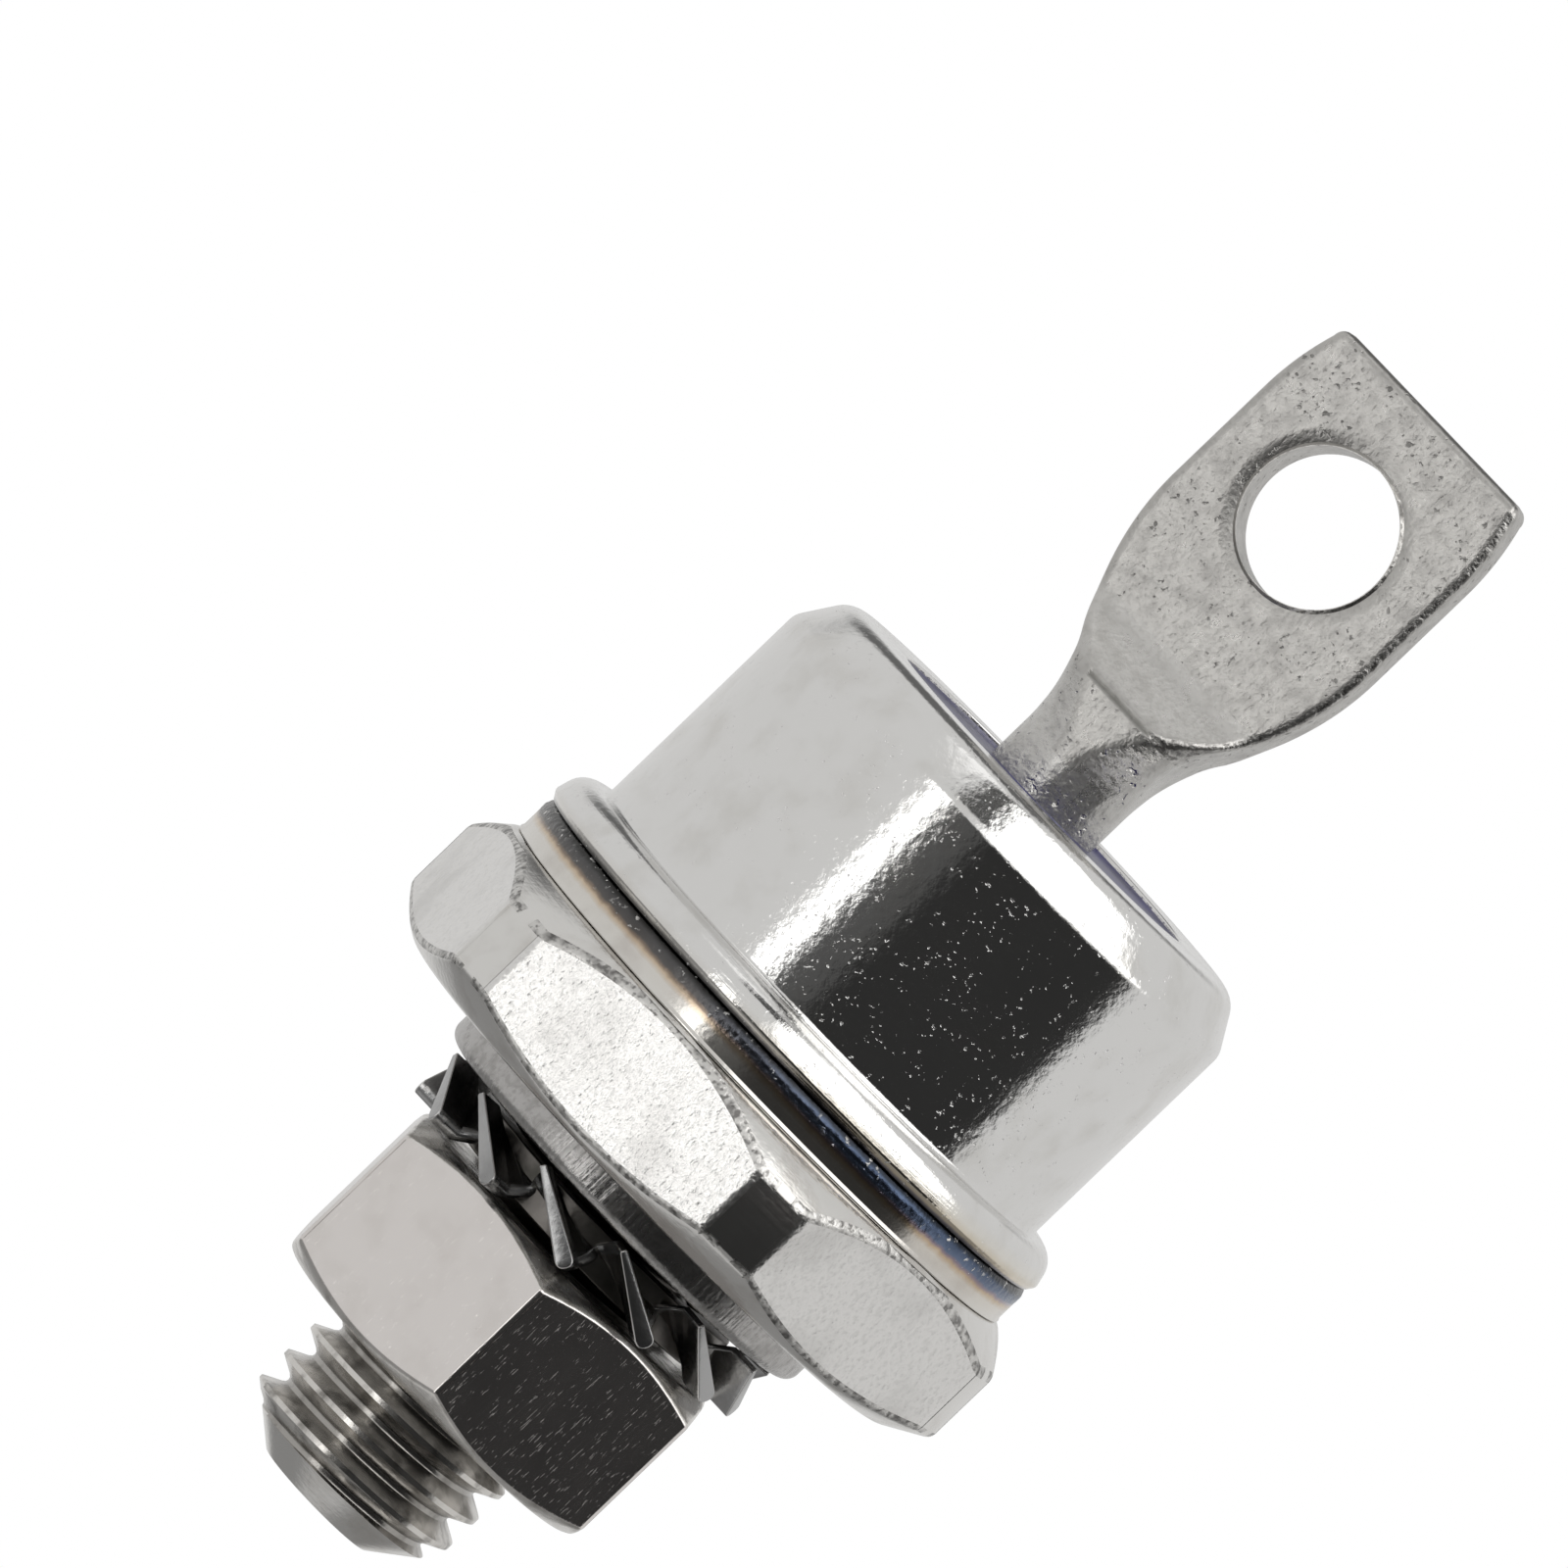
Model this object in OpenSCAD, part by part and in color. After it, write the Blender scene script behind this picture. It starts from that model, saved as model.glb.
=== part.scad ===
// Stud-mounted power diode: hexagonal stud base, welded can with a glass seal,
// flattened eye terminal, and the flat washer, toothed lock washer and nut that fix it.
// Millimetres. The axis is Z, the free end of the stud is at the origin, the terminal is up.
// One pair of base flats and the flat of the terminal face the Y directions.

/* [Stud] */
// Major diameter of the stud thread
stud_d = 6.3; // [5.6:0.1:6.8]
// Length of the stud from its free end to the seat under the hexagon
stud_length = 11.4; // [10.8:0.1:14]
// Length of the cone that points the free end of the stud
stud_point = 1.1; // [0.4:0.1:1.6]
// Radial depth from the thread crest to the pitch line, where the nut thread meshes
thread_depth = 0.29; // [0.2:0.01:0.4]

/* [Hexagon base] */
// Width across the flats of the base
hex_flats = 17.3; // [16.6:0.1:18.4]
// Distance the turned corners stand out beyond the flats
corner_rise = 0.9; // [0.5:0.05:1.2]
// Height of the hexagon from the seat to the foot of the weld ring
hex_height = 3.8; // [3.2:0.1:5]
// Distance from the flats in to the edge of the seat
seat_inset = 0.35; // [0.1:0.05:1]
// Slope of the chamfer under the corners, from the seat plane
seat_chamfer = 31; // [15:1:40]
// Slope of the cone on top of the corners, from the seat plane
top_chamfer = 42; // [20:1:50]
// Width of the pedestal round the disc that it carries
pedestal_lip = 0.5; // [0.2:0.1:0.8]
// Height of the pedestal above the spigot
pedestal_height = 0.5; // [0.2:0.1:0.9]

/* [Weld ring] */
// Distance from the flats in to the wall of the weld ring
ring_inset = 0.12; // [0.06:0.02:0.4]
// Radial width of the weld ring
ring_width = 1.79; // [1.6:0.01:2.2]
// Height of the weld ring
ring_height = 1.1; // [0.7:0.05:1.5]
// Depth of the turned waist round the weld ring
ring_waist = 0.07; // [0.02:0.01:0.15]
// Width of the rounded edges that leave the weld seam open
seam_edge = 0.14; // [0.06:0.02:0.24]
// Radial gap filled by the braze between ring and spigot
braze_gap = 0.04; // [0.02:0.01:0.1]

/* [Can] */
// Distance the flange stands out beyond the weld ring
flange_lip = 0.02; // [0.01:0.01:0.1]
// Width of the flange round the can wall
flange_width = 0.99; // [0.8:0.01:1.2]
// Thickness of the flange
flange_height = 1; // [0.8:0.05:1.3]
// Radius of the rolled upper edge of the flange
flange_round = 0.7; // [0.2:0.05:0.75]
// Height of the can from the weld seam to its top face
can_height = 8.7; // [8:0.1:11]
// Thickness of the can wall
can_wall = 0.8; // [0.5:0.05:1]
// Height of the sloping shoulder round the top of the can
shoulder_height = 1.45; // [1.1:0.05:1.8]
// Lean of the shoulder from the wall
shoulder_lean = 32; // [24:1:40]
// Radius of the bend from the wall into the shoulder
shoulder_r = 0.6; // [0.3:0.05:0.9]
// Radius of the bend from the shoulder into the flat rim
rim_round = 0.8; // [0.2:0.1:1]
// Thickness of the top plate of the can
top_thickness = 1; // [0.6:0.1:1.4]
// Wall of the collar that hangs down round the glass
collar_wall = 0.7; // [0.4:0.05:1]

/* [Glass seal] */
// Width of the rim from the can wall in to the glass
rim_width = 2.71; // [2.5:0.01:3.2]
// Depth of the glass below the rim
glass_recess = 0.1; // [0.05:0.05:0.6]
// Length of the glass along the stem
glass_length = 2; // [1.6:0.1:2.4]
// Dip of the glass surface between its two metal walls
glass_dip = 0.08; // [0.04:0.02:0.25]

/* [Terminal] */
// Diameter of the round stem
stem_d = 3.47; // [3:0.01:3.9]
// Greatest width of the flattened lug
lug_width = 7.2; // [6.6:0.1:8]
// Distance each side of the lug draws in at the top edge
crown_draw = 0.3; // [0.05:0.05:0.8]
// Thickness of the flattened lug
lug_thickness = 1.25; // [0.9:0.05:1.6]
// Diameter of the eye
eye_d = 4.1; // [3.2:0.1:4.6]
// Height of the eye centre above the can
eye_height = 9.52; // [8.6:0.01:10.4]
// Distance from the eye centre to the top edge of the lug
eye_edge = 3.92; // [3.4:0.01:5]
// Distance above the eye centre at which the sides begin to draw in
crown_start = 1.48; // [0.8:0.02:2]
// Height above the can at which the stem begins to flare
flare_height = 1.07; // [0.6:0.01:1.6]
// Radius of the hollow curve at the root of the flare
flare_radius = 6.6; // [5:0.1:7.4]
// Angle of the flare where its two curves meet
flare_angle = 30; // [26:1:34]
// Height above the can at which the press bites into the stem
crease_height = 3.05; // [2.6:0.05:3.4]
// Length of the ramp from the crease to the flat of the lug
ramp_length = 1.5; // [1.2:0.1:1.8]
// Radius on the two top corners of the lug
tip_round = 0.35; // [0.1:0.05:0.6]

/* [Inside the can] */
// Width of the inner lead strip
lead_width = 1.5; // [1:0.1:1.7]
// Thickness of the inner lead strip
lead_thickness = 0.5; // [0.3:0.05:0.7]
// Sideways bow of the inner lead strip
lead_bow = 0.8; // [0.3:0.1:1.2]
// Depth of the lead socket in the foot of the stem
socket_depth = 1.6; // [1:0.1:2]
// Radial clearance round the lead in its two sockets
socket_gap = 0.05; // [0.02:0.01:0.1]
// Length of stem below the glass
stem_tail = 0.5; // [0.3:0.1:0.7]
// Wall of the lead cup round its socket
cup_wall = 0.86; // [0.5:0.02:1.2]
// Height of the lead cup
cup_height = 0.9; // [0.7:0.05:1.1]
// Thickness of the floor of the lead cup
cup_floor = 0.3; // [0.2:0.05:0.4]
// Width of the crystal left bare round the upper disc
upper_disc_inset = 0.7; // [0.4:0.05:1.2]
// Thickness of the upper disc
upper_disc_thickness = 0.5; // [0.3:0.05:0.7]
// Diameter of the silicon crystal
die_d = 8.6; // [8:0.1:8.8]
// Thickness of the silicon crystal
die_thickness = 0.35; // [0.25:0.05:0.5]
// Width of the lower disc round the crystal
lower_disc_lip = 0.4; // [0.2:0.05:0.6]
// Thickness of the lower disc
lower_disc_thickness = 0.6; // [0.4:0.05:0.8]
// Height of the coating bead above the crystal
coating_height = 0.25; // [0.1:0.05:0.28]

/* [Flat washer] */
// Radial width of the flat washer
washer_width = 2.73; // [2.2:0.01:3.2]
// Thickness of the flat washer
washer_thickness = 1; // [0.8:0.05:1.2]
// Radius of the rounded lower edge of the flat washer
washer_round = 0.35; // [0.1:0.05:0.5]
// Radial clearance of both washers on the stud
washer_gap = 0.15; // [0.08:0.01:0.3]

/* [Lock washer] */
// Radial width of the plain ring that carries the teeth
lock_ring_width = 1; // [0.8:0.05:1.2]
// Length of a tooth beyond the plain ring
tooth_length = 1.2; // [0.9:0.05:1.5]
// Thickness of the lock washer strip
lock_thickness = 0.42; // [0.3:0.02:0.54]
// Number of teeth
tooth_count = 12; // [8:1:12]
// Width of a tooth at its tip
tooth_width = 2.6; // [2:0.05:2.7]
// Width of a tooth at its root as a share of its tip
tooth_root = 0.69; // [0.5:0.01:0.72]
// Twist of a tooth from its root to its tip
tooth_twist = 30.5; // [24:0.5:36]
// Position of the first tooth round the axis
tooth_turn = 4.5; // [0:1:30]
// Clearance left between the teeth and the faces they bite
bite_gap = 0.02; // [0.01:0.01:0.05]

/* [Nut] */
// Width across the flats of the nut
nut_flats = 10; // [9.5:0.1:11]
// Height of the nut
nut_height = 4.8; // [4:0.1:5.2]
// Distance from the flats in to the flat on each end of the nut
nut_face_inset = 0.2; // [0.05:0.05:0.25]
// Slope of the chamfer on the corners of the nut
nut_chamfer = 30; // [15:1:40]
// Radial width of the countersink in each end of the nut
nut_sink = 0.5; // [0.35:0.05:0.7]
// Turn of the nut on the stud from a corner on the X axis
nut_turn = 46; // [0:1:59]

/* [Hidden] */
$fn = 96;
seat_z = stud_length;
corner_d = hex_flats + 2 * corner_rise;
seat_d = hex_flats - 2 * seat_inset;
ring_d = hex_flats - 2 * ring_inset;
spigot_d = ring_d - 2 * ring_width - 2 * braze_gap;
flange_d = ring_d + 2 * flange_lip;
can_d = flange_d - 2 * flange_width;
glass_d = can_d - 2 * rim_width;
foot_z = seat_z + hex_height;
seam_z = foot_z + ring_height;
pedestal_z = seam_z + pedestal_height;
rim_z = seam_z + can_height;
flange_turn = min(flange_round, flange_height - 1.8 * seam_edge);
shoulder_z = rim_z - shoulder_height;
shoulder_run = shoulder_height - shoulder_r * sin(shoulder_lean)
    - rim_round * (1 - sin(shoulder_lean));
rim_r = can_d / 2 - shoulder_r * (1 - cos(shoulder_lean)) - shoulder_run * tan(shoulder_lean)
    - rim_round * cos(shoulder_lean);
stem_r = stem_d / 2;
glass_top_z = rim_z - glass_recess;
glass_foot_z = glass_top_z - glass_length;
stem_foot_z = glass_foot_z - stem_tail;
collar_r = glass_d / 2 + collar_wall;
wall_r = can_d / 2 - can_wall;
pitch_r = stud_d / 2 - thread_depth;
point_r = stud_d / 2 - stud_point * 1.25;
lower_disc_d = die_d + 2 * lower_disc_lip;
upper_disc_d = die_d - 2 * upper_disc_inset;
pedestal_d = lower_disc_d + 2 * pedestal_lip;
disc_z = pedestal_z + lower_disc_thickness;
die_z = disc_z + die_thickness;
upper_z = die_z + upper_disc_thickness;
cup_z = upper_z + cup_height;
washer_bore_r = stud_d / 2 + washer_gap;
washer_d = 2 * (washer_bore_r + washer_width);
lock_ring_d = 2 * (washer_bore_r + lock_ring_width);
lock_d = lock_ring_d + 2 * tooth_length;
nut_face_d = nut_flats - 2 * nut_face_inset;
washer_z = seat_z - washer_thickness;
lock_height = tooth_width * sin(tooth_twist) + lock_thickness * cos(tooth_twist) + 2 * bite_gap;
lock_z = washer_z - lock_height / 2;
nut_top_z = washer_z - lock_height;
nut_foot_z = nut_top_z - nut_height;
flare_z = rim_z + flare_height;
meet_z = flare_z + flare_radius * sin(flare_angle);
meet_r = stem_r + flare_radius * (1 - cos(flare_angle));
side_radius = (lug_width / 2 - meet_r) / (1 - cos(flare_angle));
side_z = meet_z + side_radius * sin(flare_angle);
crease_z = rim_z + crease_height;
eye_z = rim_z + eye_height;
lug_z = eye_z + eye_edge;
crown_z = eye_z + crown_start;
lug_top_width = lug_width - 2 * crown_draw;
press_y = stem_r + 0.02;
lead_free = stem_foot_z - cup_z;
socket_r = norm([lead_width, lead_thickness]) / 2 + socket_gap;
cup_d = 2 * (socket_r + cup_wall);
arc_steps = 8;
bow_steps = 20;
twist_steps = 8;
twist_share = 0.5;

// Points on a circle in the half plane of a turned profile
function arc(cx, cz, r, from, to) =
    [for (i = [0 : arc_steps]) let (a = from + (to - from) * i / arc_steps)
        [cx + r * cos(a), cz + r * sin(a)]];

// Six-sided bar with a flat facing the Y directions
module hex_bar(flats, z, height) {
    translate([0, 0, z])
        cylinder(d = flats / cos(30), h = height, $fn = 6);
}

// Copper base turned and milled with its stud in one piece
module stud_base() {
    color([0.78, 0.77, 0.75]) {
        intersection() {
            hex_bar(hex_flats, seat_z, hex_height);
            rotate_extrude()
                polygon([
                    [0, seat_z],
                    [seat_d / 2, seat_z],
                    [corner_d / 2, seat_z + (corner_d - seat_d) / 2 * tan(seat_chamfer)],
                    [corner_d / 2, foot_z - (corner_d - ring_d) / 2 * tan(top_chamfer)],
                    [ring_d / 2, foot_z],
                    [0, foot_z]
                ]);
        }
        rotate_extrude()
            polygon([
                [0, 0],
                [point_r, 0],
                [stud_d / 2, stud_point],
                [stud_d / 2, nut_foot_z],
                [pitch_r, nut_foot_z],
                [pitch_r, nut_top_z],
                [stud_d / 2, nut_top_z],
                [stud_d / 2, seat_z + 0.5],
                [0, seat_z + 0.5]
            ]);
        translate([0, 0, foot_z - 0.5])
            cylinder(d = spigot_d, h = ring_height + 0.5);
        translate([0, 0, seam_z - 0.5])
            cylinder(d = pedestal_d, h = pedestal_height + 0.5);
    }
}

// Steel ring brazed round the spigot, to which the can is welded
module weld_ring() {
    color([0.70, 0.69, 0.68])
        rotate_extrude()
            polygon([
                [spigot_d / 2 + braze_gap, foot_z],
                [ring_d / 2, foot_z],
                [ring_d / 2 - ring_waist, foot_z + ring_height * 0.3],
                [ring_d / 2 - ring_waist, seam_z - seam_edge * 1.6],
                [ring_d / 2 - ring_waist - seam_edge, seam_z],
                [spigot_d / 2 + braze_gap, seam_z]
            ]);
}

// Drawn steel can with its welded flange, sloping shoulder and glass collar
module can() {
    color([0.76, 0.75, 0.74])
        rotate_extrude()
            polygon(concat(
                [[wall_r, seam_z]],
                [[flange_d / 2 - seam_edge, seam_z]],
                [[flange_d / 2, seam_z + seam_edge * 1.6]],
                arc(flange_d / 2 - flange_turn, seam_z + flange_height - flange_turn,
                    flange_turn, 0, 80),
                [[can_d / 2 + 0.16, seam_z + flange_height + 0.03]],
                [[can_d / 2, seam_z + flange_height + 0.2]],
                arc(can_d / 2 - shoulder_r, shoulder_z, shoulder_r, 0, shoulder_lean),
                arc(rim_r, rim_z - rim_round, rim_round, shoulder_lean, 90),
                [[glass_d / 2, rim_z]],
                [[glass_d / 2, glass_foot_z]],
                [[collar_r, glass_foot_z]],
                [[collar_r, rim_z - top_thickness]],
                [[wall_r - 0.5, rim_z - top_thickness]],
                [[wall_r, rim_z - top_thickness - 0.5]]
            ));
}

// Glass fused between the collar of the can and the stem
module glass_seal() {
    color([0.16, 0.15, 0.42])
        rotate_extrude()
            polygon([
                [stem_r, glass_foot_z],
                [glass_d / 2, glass_foot_z],
                [glass_d / 2, glass_top_z],
                [glass_d / 2 - 0.5, glass_top_z - glass_dip],
                [stem_r + 0.5, glass_top_z - glass_dip],
                [stem_r, glass_top_z]
            ]);
}

// Outline of the lug seen from its flat side
module lug_outline() {
    half = concat(
        [[meet_r + 0.4, stem_foot_z - 1]],
        [[meet_r + 0.4, meet_z - 0.3]],
        [for (i = [0 : arc_steps]) let (a = flare_angle * (1 - i / arc_steps))
            [lug_width / 2 - side_radius * (1 - cos(a)), side_z - side_radius * sin(a)]],
        [for (i = [0 : arc_steps]) let (f = i / arc_steps)
            [lug_width / 2 - (lug_width - lug_top_width) / 2 * f * f,
             crown_z + (lug_z - tip_round - crown_z) * f]],
        [for (i = [1 : arc_steps]) let (a = 90 * i / arc_steps)
            [lug_top_width / 2 - tip_round * (1 - cos(a)),
             lug_z - tip_round * (1 - sin(a))]]
    );
    last = len(half) - 1;
    polygon(concat(half, [for (i = [0 : last]) [-half[last - i][0], half[last - i][1]]]));
}

// Side view of the pressed stem, from the round part through the ramps to the flat
module press_outline() {
    polygon([
        [-press_y, stem_foot_z - 1],
        [press_y, stem_foot_z - 1],
        [press_y, crease_z],
        [lug_thickness / 2, crease_z + ramp_length],
        [lug_thickness / 2, lug_z + 1],
        [-lug_thickness / 2, lug_z + 1],
        [-lug_thickness / 2, crease_z + ramp_length],
        [-press_y, crease_z]
    ]);
}

// Round rod pressed flat into a lug with an eye, bored at its foot for the lead
module terminal() {
    color([0.72, 0.71, 0.69])
        difference() {
            intersection() {
                rotate_extrude()
                    polygon(concat(
                        [[0, stem_foot_z]],
                        [[stem_r, stem_foot_z]],
                        [for (i = [0 : arc_steps]) let (a = flare_angle * i / arc_steps)
                            [stem_r + flare_radius * (1 - cos(a)), flare_z + flare_radius * sin(a)]],
                        [[lug_width, meet_z + lug_width / 2]],
                        [[lug_width, lug_z + 1]],
                        [[0, lug_z + 1]]
                    ));
                rotate([90, 0, 0])
                    linear_extrude(height = 2 * lug_width, center = true)
                        lug_outline();
                rotate([90, 0, 90])
                    linear_extrude(height = 2 * lug_width, center = true)
                        press_outline();
            }
            translate([0, 0, eye_z])
                rotate([90, 0, 0])
                    cylinder(d = eye_d, h = 2 * lug_width, center = true);
            translate([0, 0, stem_foot_z - 1])
                cylinder(r = socket_r, h = socket_depth + 1);
        }
}

// Springy strip between the crystal and the stem, bowed to take up heat movement
module inner_lead() {
    path = concat(
        [[0, upper_z + cup_floor, 0]],
        [for (i = [0 : bow_steps]) let (u = i / bow_steps)
            [lead_bow * (1 - cos(360 * u)) / 2, cup_z + lead_free * u,
             atan(lead_bow * PI * sin(360 * u) / lead_free)]],
        [[0, stem_foot_z + socket_depth, 0]]
    );
    last = len(path) - 1;
    half = lead_thickness / 2;
    color([0.80, 0.50, 0.33])
        rotate([90, 0, 0])
            linear_extrude(height = lead_width, center = true)
                polygon(concat(
                    [for (p = path) [p[0] + half * cos(p[2]), p[1] - half * sin(p[2])]],
                    [for (i = [0 : last]) let (p = path[last - i])
                        [p[0] - half * cos(p[2]), p[1] + half * sin(p[2])]]
                ));
}

// Cup soldered on the upper disc to hold the foot of the lead
module lead_cup() {
    color([0.80, 0.50, 0.33])
        difference() {
            translate([0, 0, upper_z])
                cylinder(d = cup_d, h = cup_height);
            translate([0, 0, upper_z + cup_floor])
                cylinder(r = socket_r, h = cup_height);
        }
}

// Metal disc soldered on top of the crystal
module upper_disc() {
    color([0.55, 0.55, 0.57])
        translate([0, 0, die_z])
            cylinder(d = upper_disc_d, h = upper_disc_thickness);
}

// Round silicon crystal
module silicon_die() {
    color([0.25, 0.26, 0.30])
        translate([0, 0, disc_z])
            cylinder(d = die_d, h = die_thickness);
}

// Metal disc between the crystal and the pedestal
module lower_disc() {
    color([0.55, 0.55, 0.57])
        translate([0, 0, pedestal_z])
            cylinder(d = lower_disc_d, h = lower_disc_thickness);
}

// Varnish bead that seals the edge of the crystal
module junction_coating() {
    color([0.55, 0.30, 0.18])
        rotate_extrude()
            polygon([
                [die_d / 2, disc_z],
                [lower_disc_d / 2, disc_z],
                [die_d / 2, die_z + coating_height],
                [upper_disc_d / 2, die_z + coating_height],
                [upper_disc_d / 2, die_z],
                [die_d / 2, die_z]
            ]);
}

// Stamped flat washer with its rounded edge down
module flat_washer() {
    color([0.66, 0.65, 0.63])
        rotate_extrude()
            polygon(concat(
                [[washer_bore_r, washer_z]],
                arc(washer_d / 2 - washer_round, washer_z + washer_round, washer_round, -90, 0),
                [[washer_d / 2, seat_z]],
                [[washer_bore_r, seat_z]]
            ));
}

// One tooth along X, widened and twisted step by step from its root to half its length
module lock_tooth() {
    root_r = lock_ring_d / 2 - 0.35;
    corners = [[-1, -1], [1, -1], [1, 1], [-1, 1]];
    points = [for (i = [0 : twist_steps]) let (
            f = i / twist_steps,
            g = min(1, f / twist_share),
            w = tooth_width * (tooth_root + (1 - tooth_root) * g) / 2,
            a = tooth_twist * g)
        for (c = corners) let (y = w * c[0], z = lock_thickness / 2 * c[1])
            [root_r + (lock_d / 2 - root_r) * f, y * cos(a) + z * sin(a), z * cos(a) - y * sin(a)]];
    tip = 4 * twist_steps;
    sides = [for (i = [0 : twist_steps - 1], j = [0 : 3], half = [0, 1]) let (
            a = 4 * i + j,
            b = 4 * i + (j + 1) % 4)
        half == 0 ? [a, a + 4, b + 4] : [a, b + 4, b]];
    polyhedron(points, concat([[0, 1, 2, 3]], [[tip + 3, tip + 2, tip + 1, tip]], sides));
}

// Lock washer with teeth twisted out of the plane of its ring
module lock_washer() {
    color([0.62, 0.62, 0.62])
        translate([0, 0, lock_z]) {
            difference() {
                cylinder(d = lock_ring_d, h = lock_thickness, center = true);
                cylinder(r = washer_bore_r, h = 4 * lock_thickness, center = true);
            }
            for (i = [0 : tooth_count - 1])
                rotate([0, 0, tooth_turn + i * 360 / tooth_count])
                    lock_tooth();
        }
}

// Nut, chamfered at both ends and bored to the pitch line of the thread it meshes with
module hex_nut() {
    sink_r = pitch_r + nut_sink;
    rise = (nut_flats / cos(30) - nut_face_d) / 2 * tan(nut_chamfer) + 0.02;
    color([0.80, 0.78, 0.75])
        difference() {
            intersection() {
                rotate([0, 0, nut_turn])
                    hex_bar(nut_flats, nut_foot_z, nut_height);
                rotate_extrude()
                    polygon([
                        [0, nut_foot_z],
                        [nut_face_d / 2, nut_foot_z],
                        [nut_face_d / 2 + rise / tan(nut_chamfer), nut_foot_z + rise],
                        [nut_face_d / 2 + rise / tan(nut_chamfer), nut_top_z - rise],
                        [nut_face_d / 2, nut_top_z],
                        [0, nut_top_z]
                    ]);
            }
            translate([0, 0, nut_foot_z - 1])
                cylinder(r = pitch_r, h = nut_height + 2);
            translate([0, 0, nut_foot_z])
                cylinder(r1 = sink_r, r2 = pitch_r, h = nut_sink);
            translate([0, 0, nut_top_z - nut_sink])
                cylinder(r1 = pitch_r, r2 = sink_r, h = nut_sink);
        }
}

stud_base();
weld_ring();
can();
glass_seal();
terminal();
inner_lead();
lead_cup();
upper_disc();
silicon_die();
lower_disc();
junction_coating();
flat_washer();
lock_washer();
hex_nut();
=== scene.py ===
"""Looks of the stud diode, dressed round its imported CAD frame.

Sizes are in millimetres, as on a drawing, and a finished piece is brought to metres by its
last transform. The axis is Z, the free end of the stud is at the origin, the terminal is up.
"""
import logging
import math
from collections.abc import Callable
from dataclasses import dataclass, field, replace
from enum import Enum

import bpy
from mathutils import Matrix, Vector, noise


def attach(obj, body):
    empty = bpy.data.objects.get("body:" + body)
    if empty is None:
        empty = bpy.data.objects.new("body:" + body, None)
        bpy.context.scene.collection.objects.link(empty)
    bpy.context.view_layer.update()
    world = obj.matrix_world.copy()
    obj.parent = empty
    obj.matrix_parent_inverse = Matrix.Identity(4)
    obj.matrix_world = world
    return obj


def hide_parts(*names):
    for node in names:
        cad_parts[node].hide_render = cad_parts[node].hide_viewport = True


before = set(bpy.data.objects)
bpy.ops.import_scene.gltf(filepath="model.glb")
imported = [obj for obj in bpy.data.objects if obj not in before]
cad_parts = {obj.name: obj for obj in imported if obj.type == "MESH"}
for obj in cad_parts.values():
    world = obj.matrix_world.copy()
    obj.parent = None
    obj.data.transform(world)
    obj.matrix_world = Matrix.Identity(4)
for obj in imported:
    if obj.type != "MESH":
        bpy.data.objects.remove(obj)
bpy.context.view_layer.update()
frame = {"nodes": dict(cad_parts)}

LOG = logging.getLogger("stud_diode")

MM = 0.001
STEPS = 240
SIDES = 6
ROUND_STEP = math.radians(10)
DEGREES = 180 / math.pi
MERGE = 1e-4
TINY = 1e-9

Point = tuple[float, float]
Corner = tuple[float, float, float]
Spot = tuple[float, float, float]
Color = tuple[float, float, float]
Band = tuple[float, Color, Color]
Object = bpy.types.Object
Socket = bpy.types.NodeSocket


class Cut(Enum):
    """How a tool shape acts on a piece."""

    JOIN = "UNION"
    TRIM = "INTERSECT"
    BORE = "DIFFERENCE"


class Streak(Enum):
    """Direction of the fine lines that a surface keeps from its making."""

    NONE = "none"
    ROUND = "turned round the axis"
    AXIAL = "sheared or drawn along the axis"


def grey(level: float) -> Color:
    """Neutral colour of one level."""
    return (level, level, level)


def smooth(low: float, high: float, value: float) -> float:
    """Eased step of a value between two limits.

    Args:
        low: Value at which the step begins.
        high: Value at which the step ends.
        value: Value to place.

    Returns:
        A share from 0 to 1.
    """
    share = min(1.0, max(0.0, (value - low) / (high - low)))
    return share * share * (3 - 2 * share)


def rounded(corners: list[Corner], closed: bool) -> list[Point]:
    """Profile line with each corner turned by its own radius.

    Args:
        corners: Radius from the axis, height and rounding of each corner.
        closed: Whether the last corner joins the first.

    Returns:
        The points of the line.
    """
    points: list[Point] = []
    count = len(corners)
    for index, (r, z, radius) in enumerate(corners):
        at_end = not closed and index in (0, count - 1)
        if radius <= 0 or at_end:
            points.append((r, z))
            continue
        here = Vector((r, z))
        back = (Vector(corners[index - 1][:2]) - here).normalized()
        ahead = (Vector(corners[(index + 1) % count][:2]) - here).normalized()
        turn = math.pi - back.angle(ahead)
        centre = here + (back + ahead).normalized() * radius / math.cos(turn / 2)
        start = here + back * radius * math.tan(turn / 2) - centre
        end = here + ahead * radius * math.tan(turn / 2) - centre
        first = math.atan2(start.y, start.x)
        sweep = (math.atan2(end.y, end.x) - first + math.pi) % (2 * math.pi) - math.pi
        pieces = max(2, math.ceil(turn / ROUND_STEP))
        for k in range(pieces + 1):
            angle = first + sweep * k / pieces
            points.append((centre.x + radius * math.cos(angle), centre.y + radius * math.sin(angle)))
    return points


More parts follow.
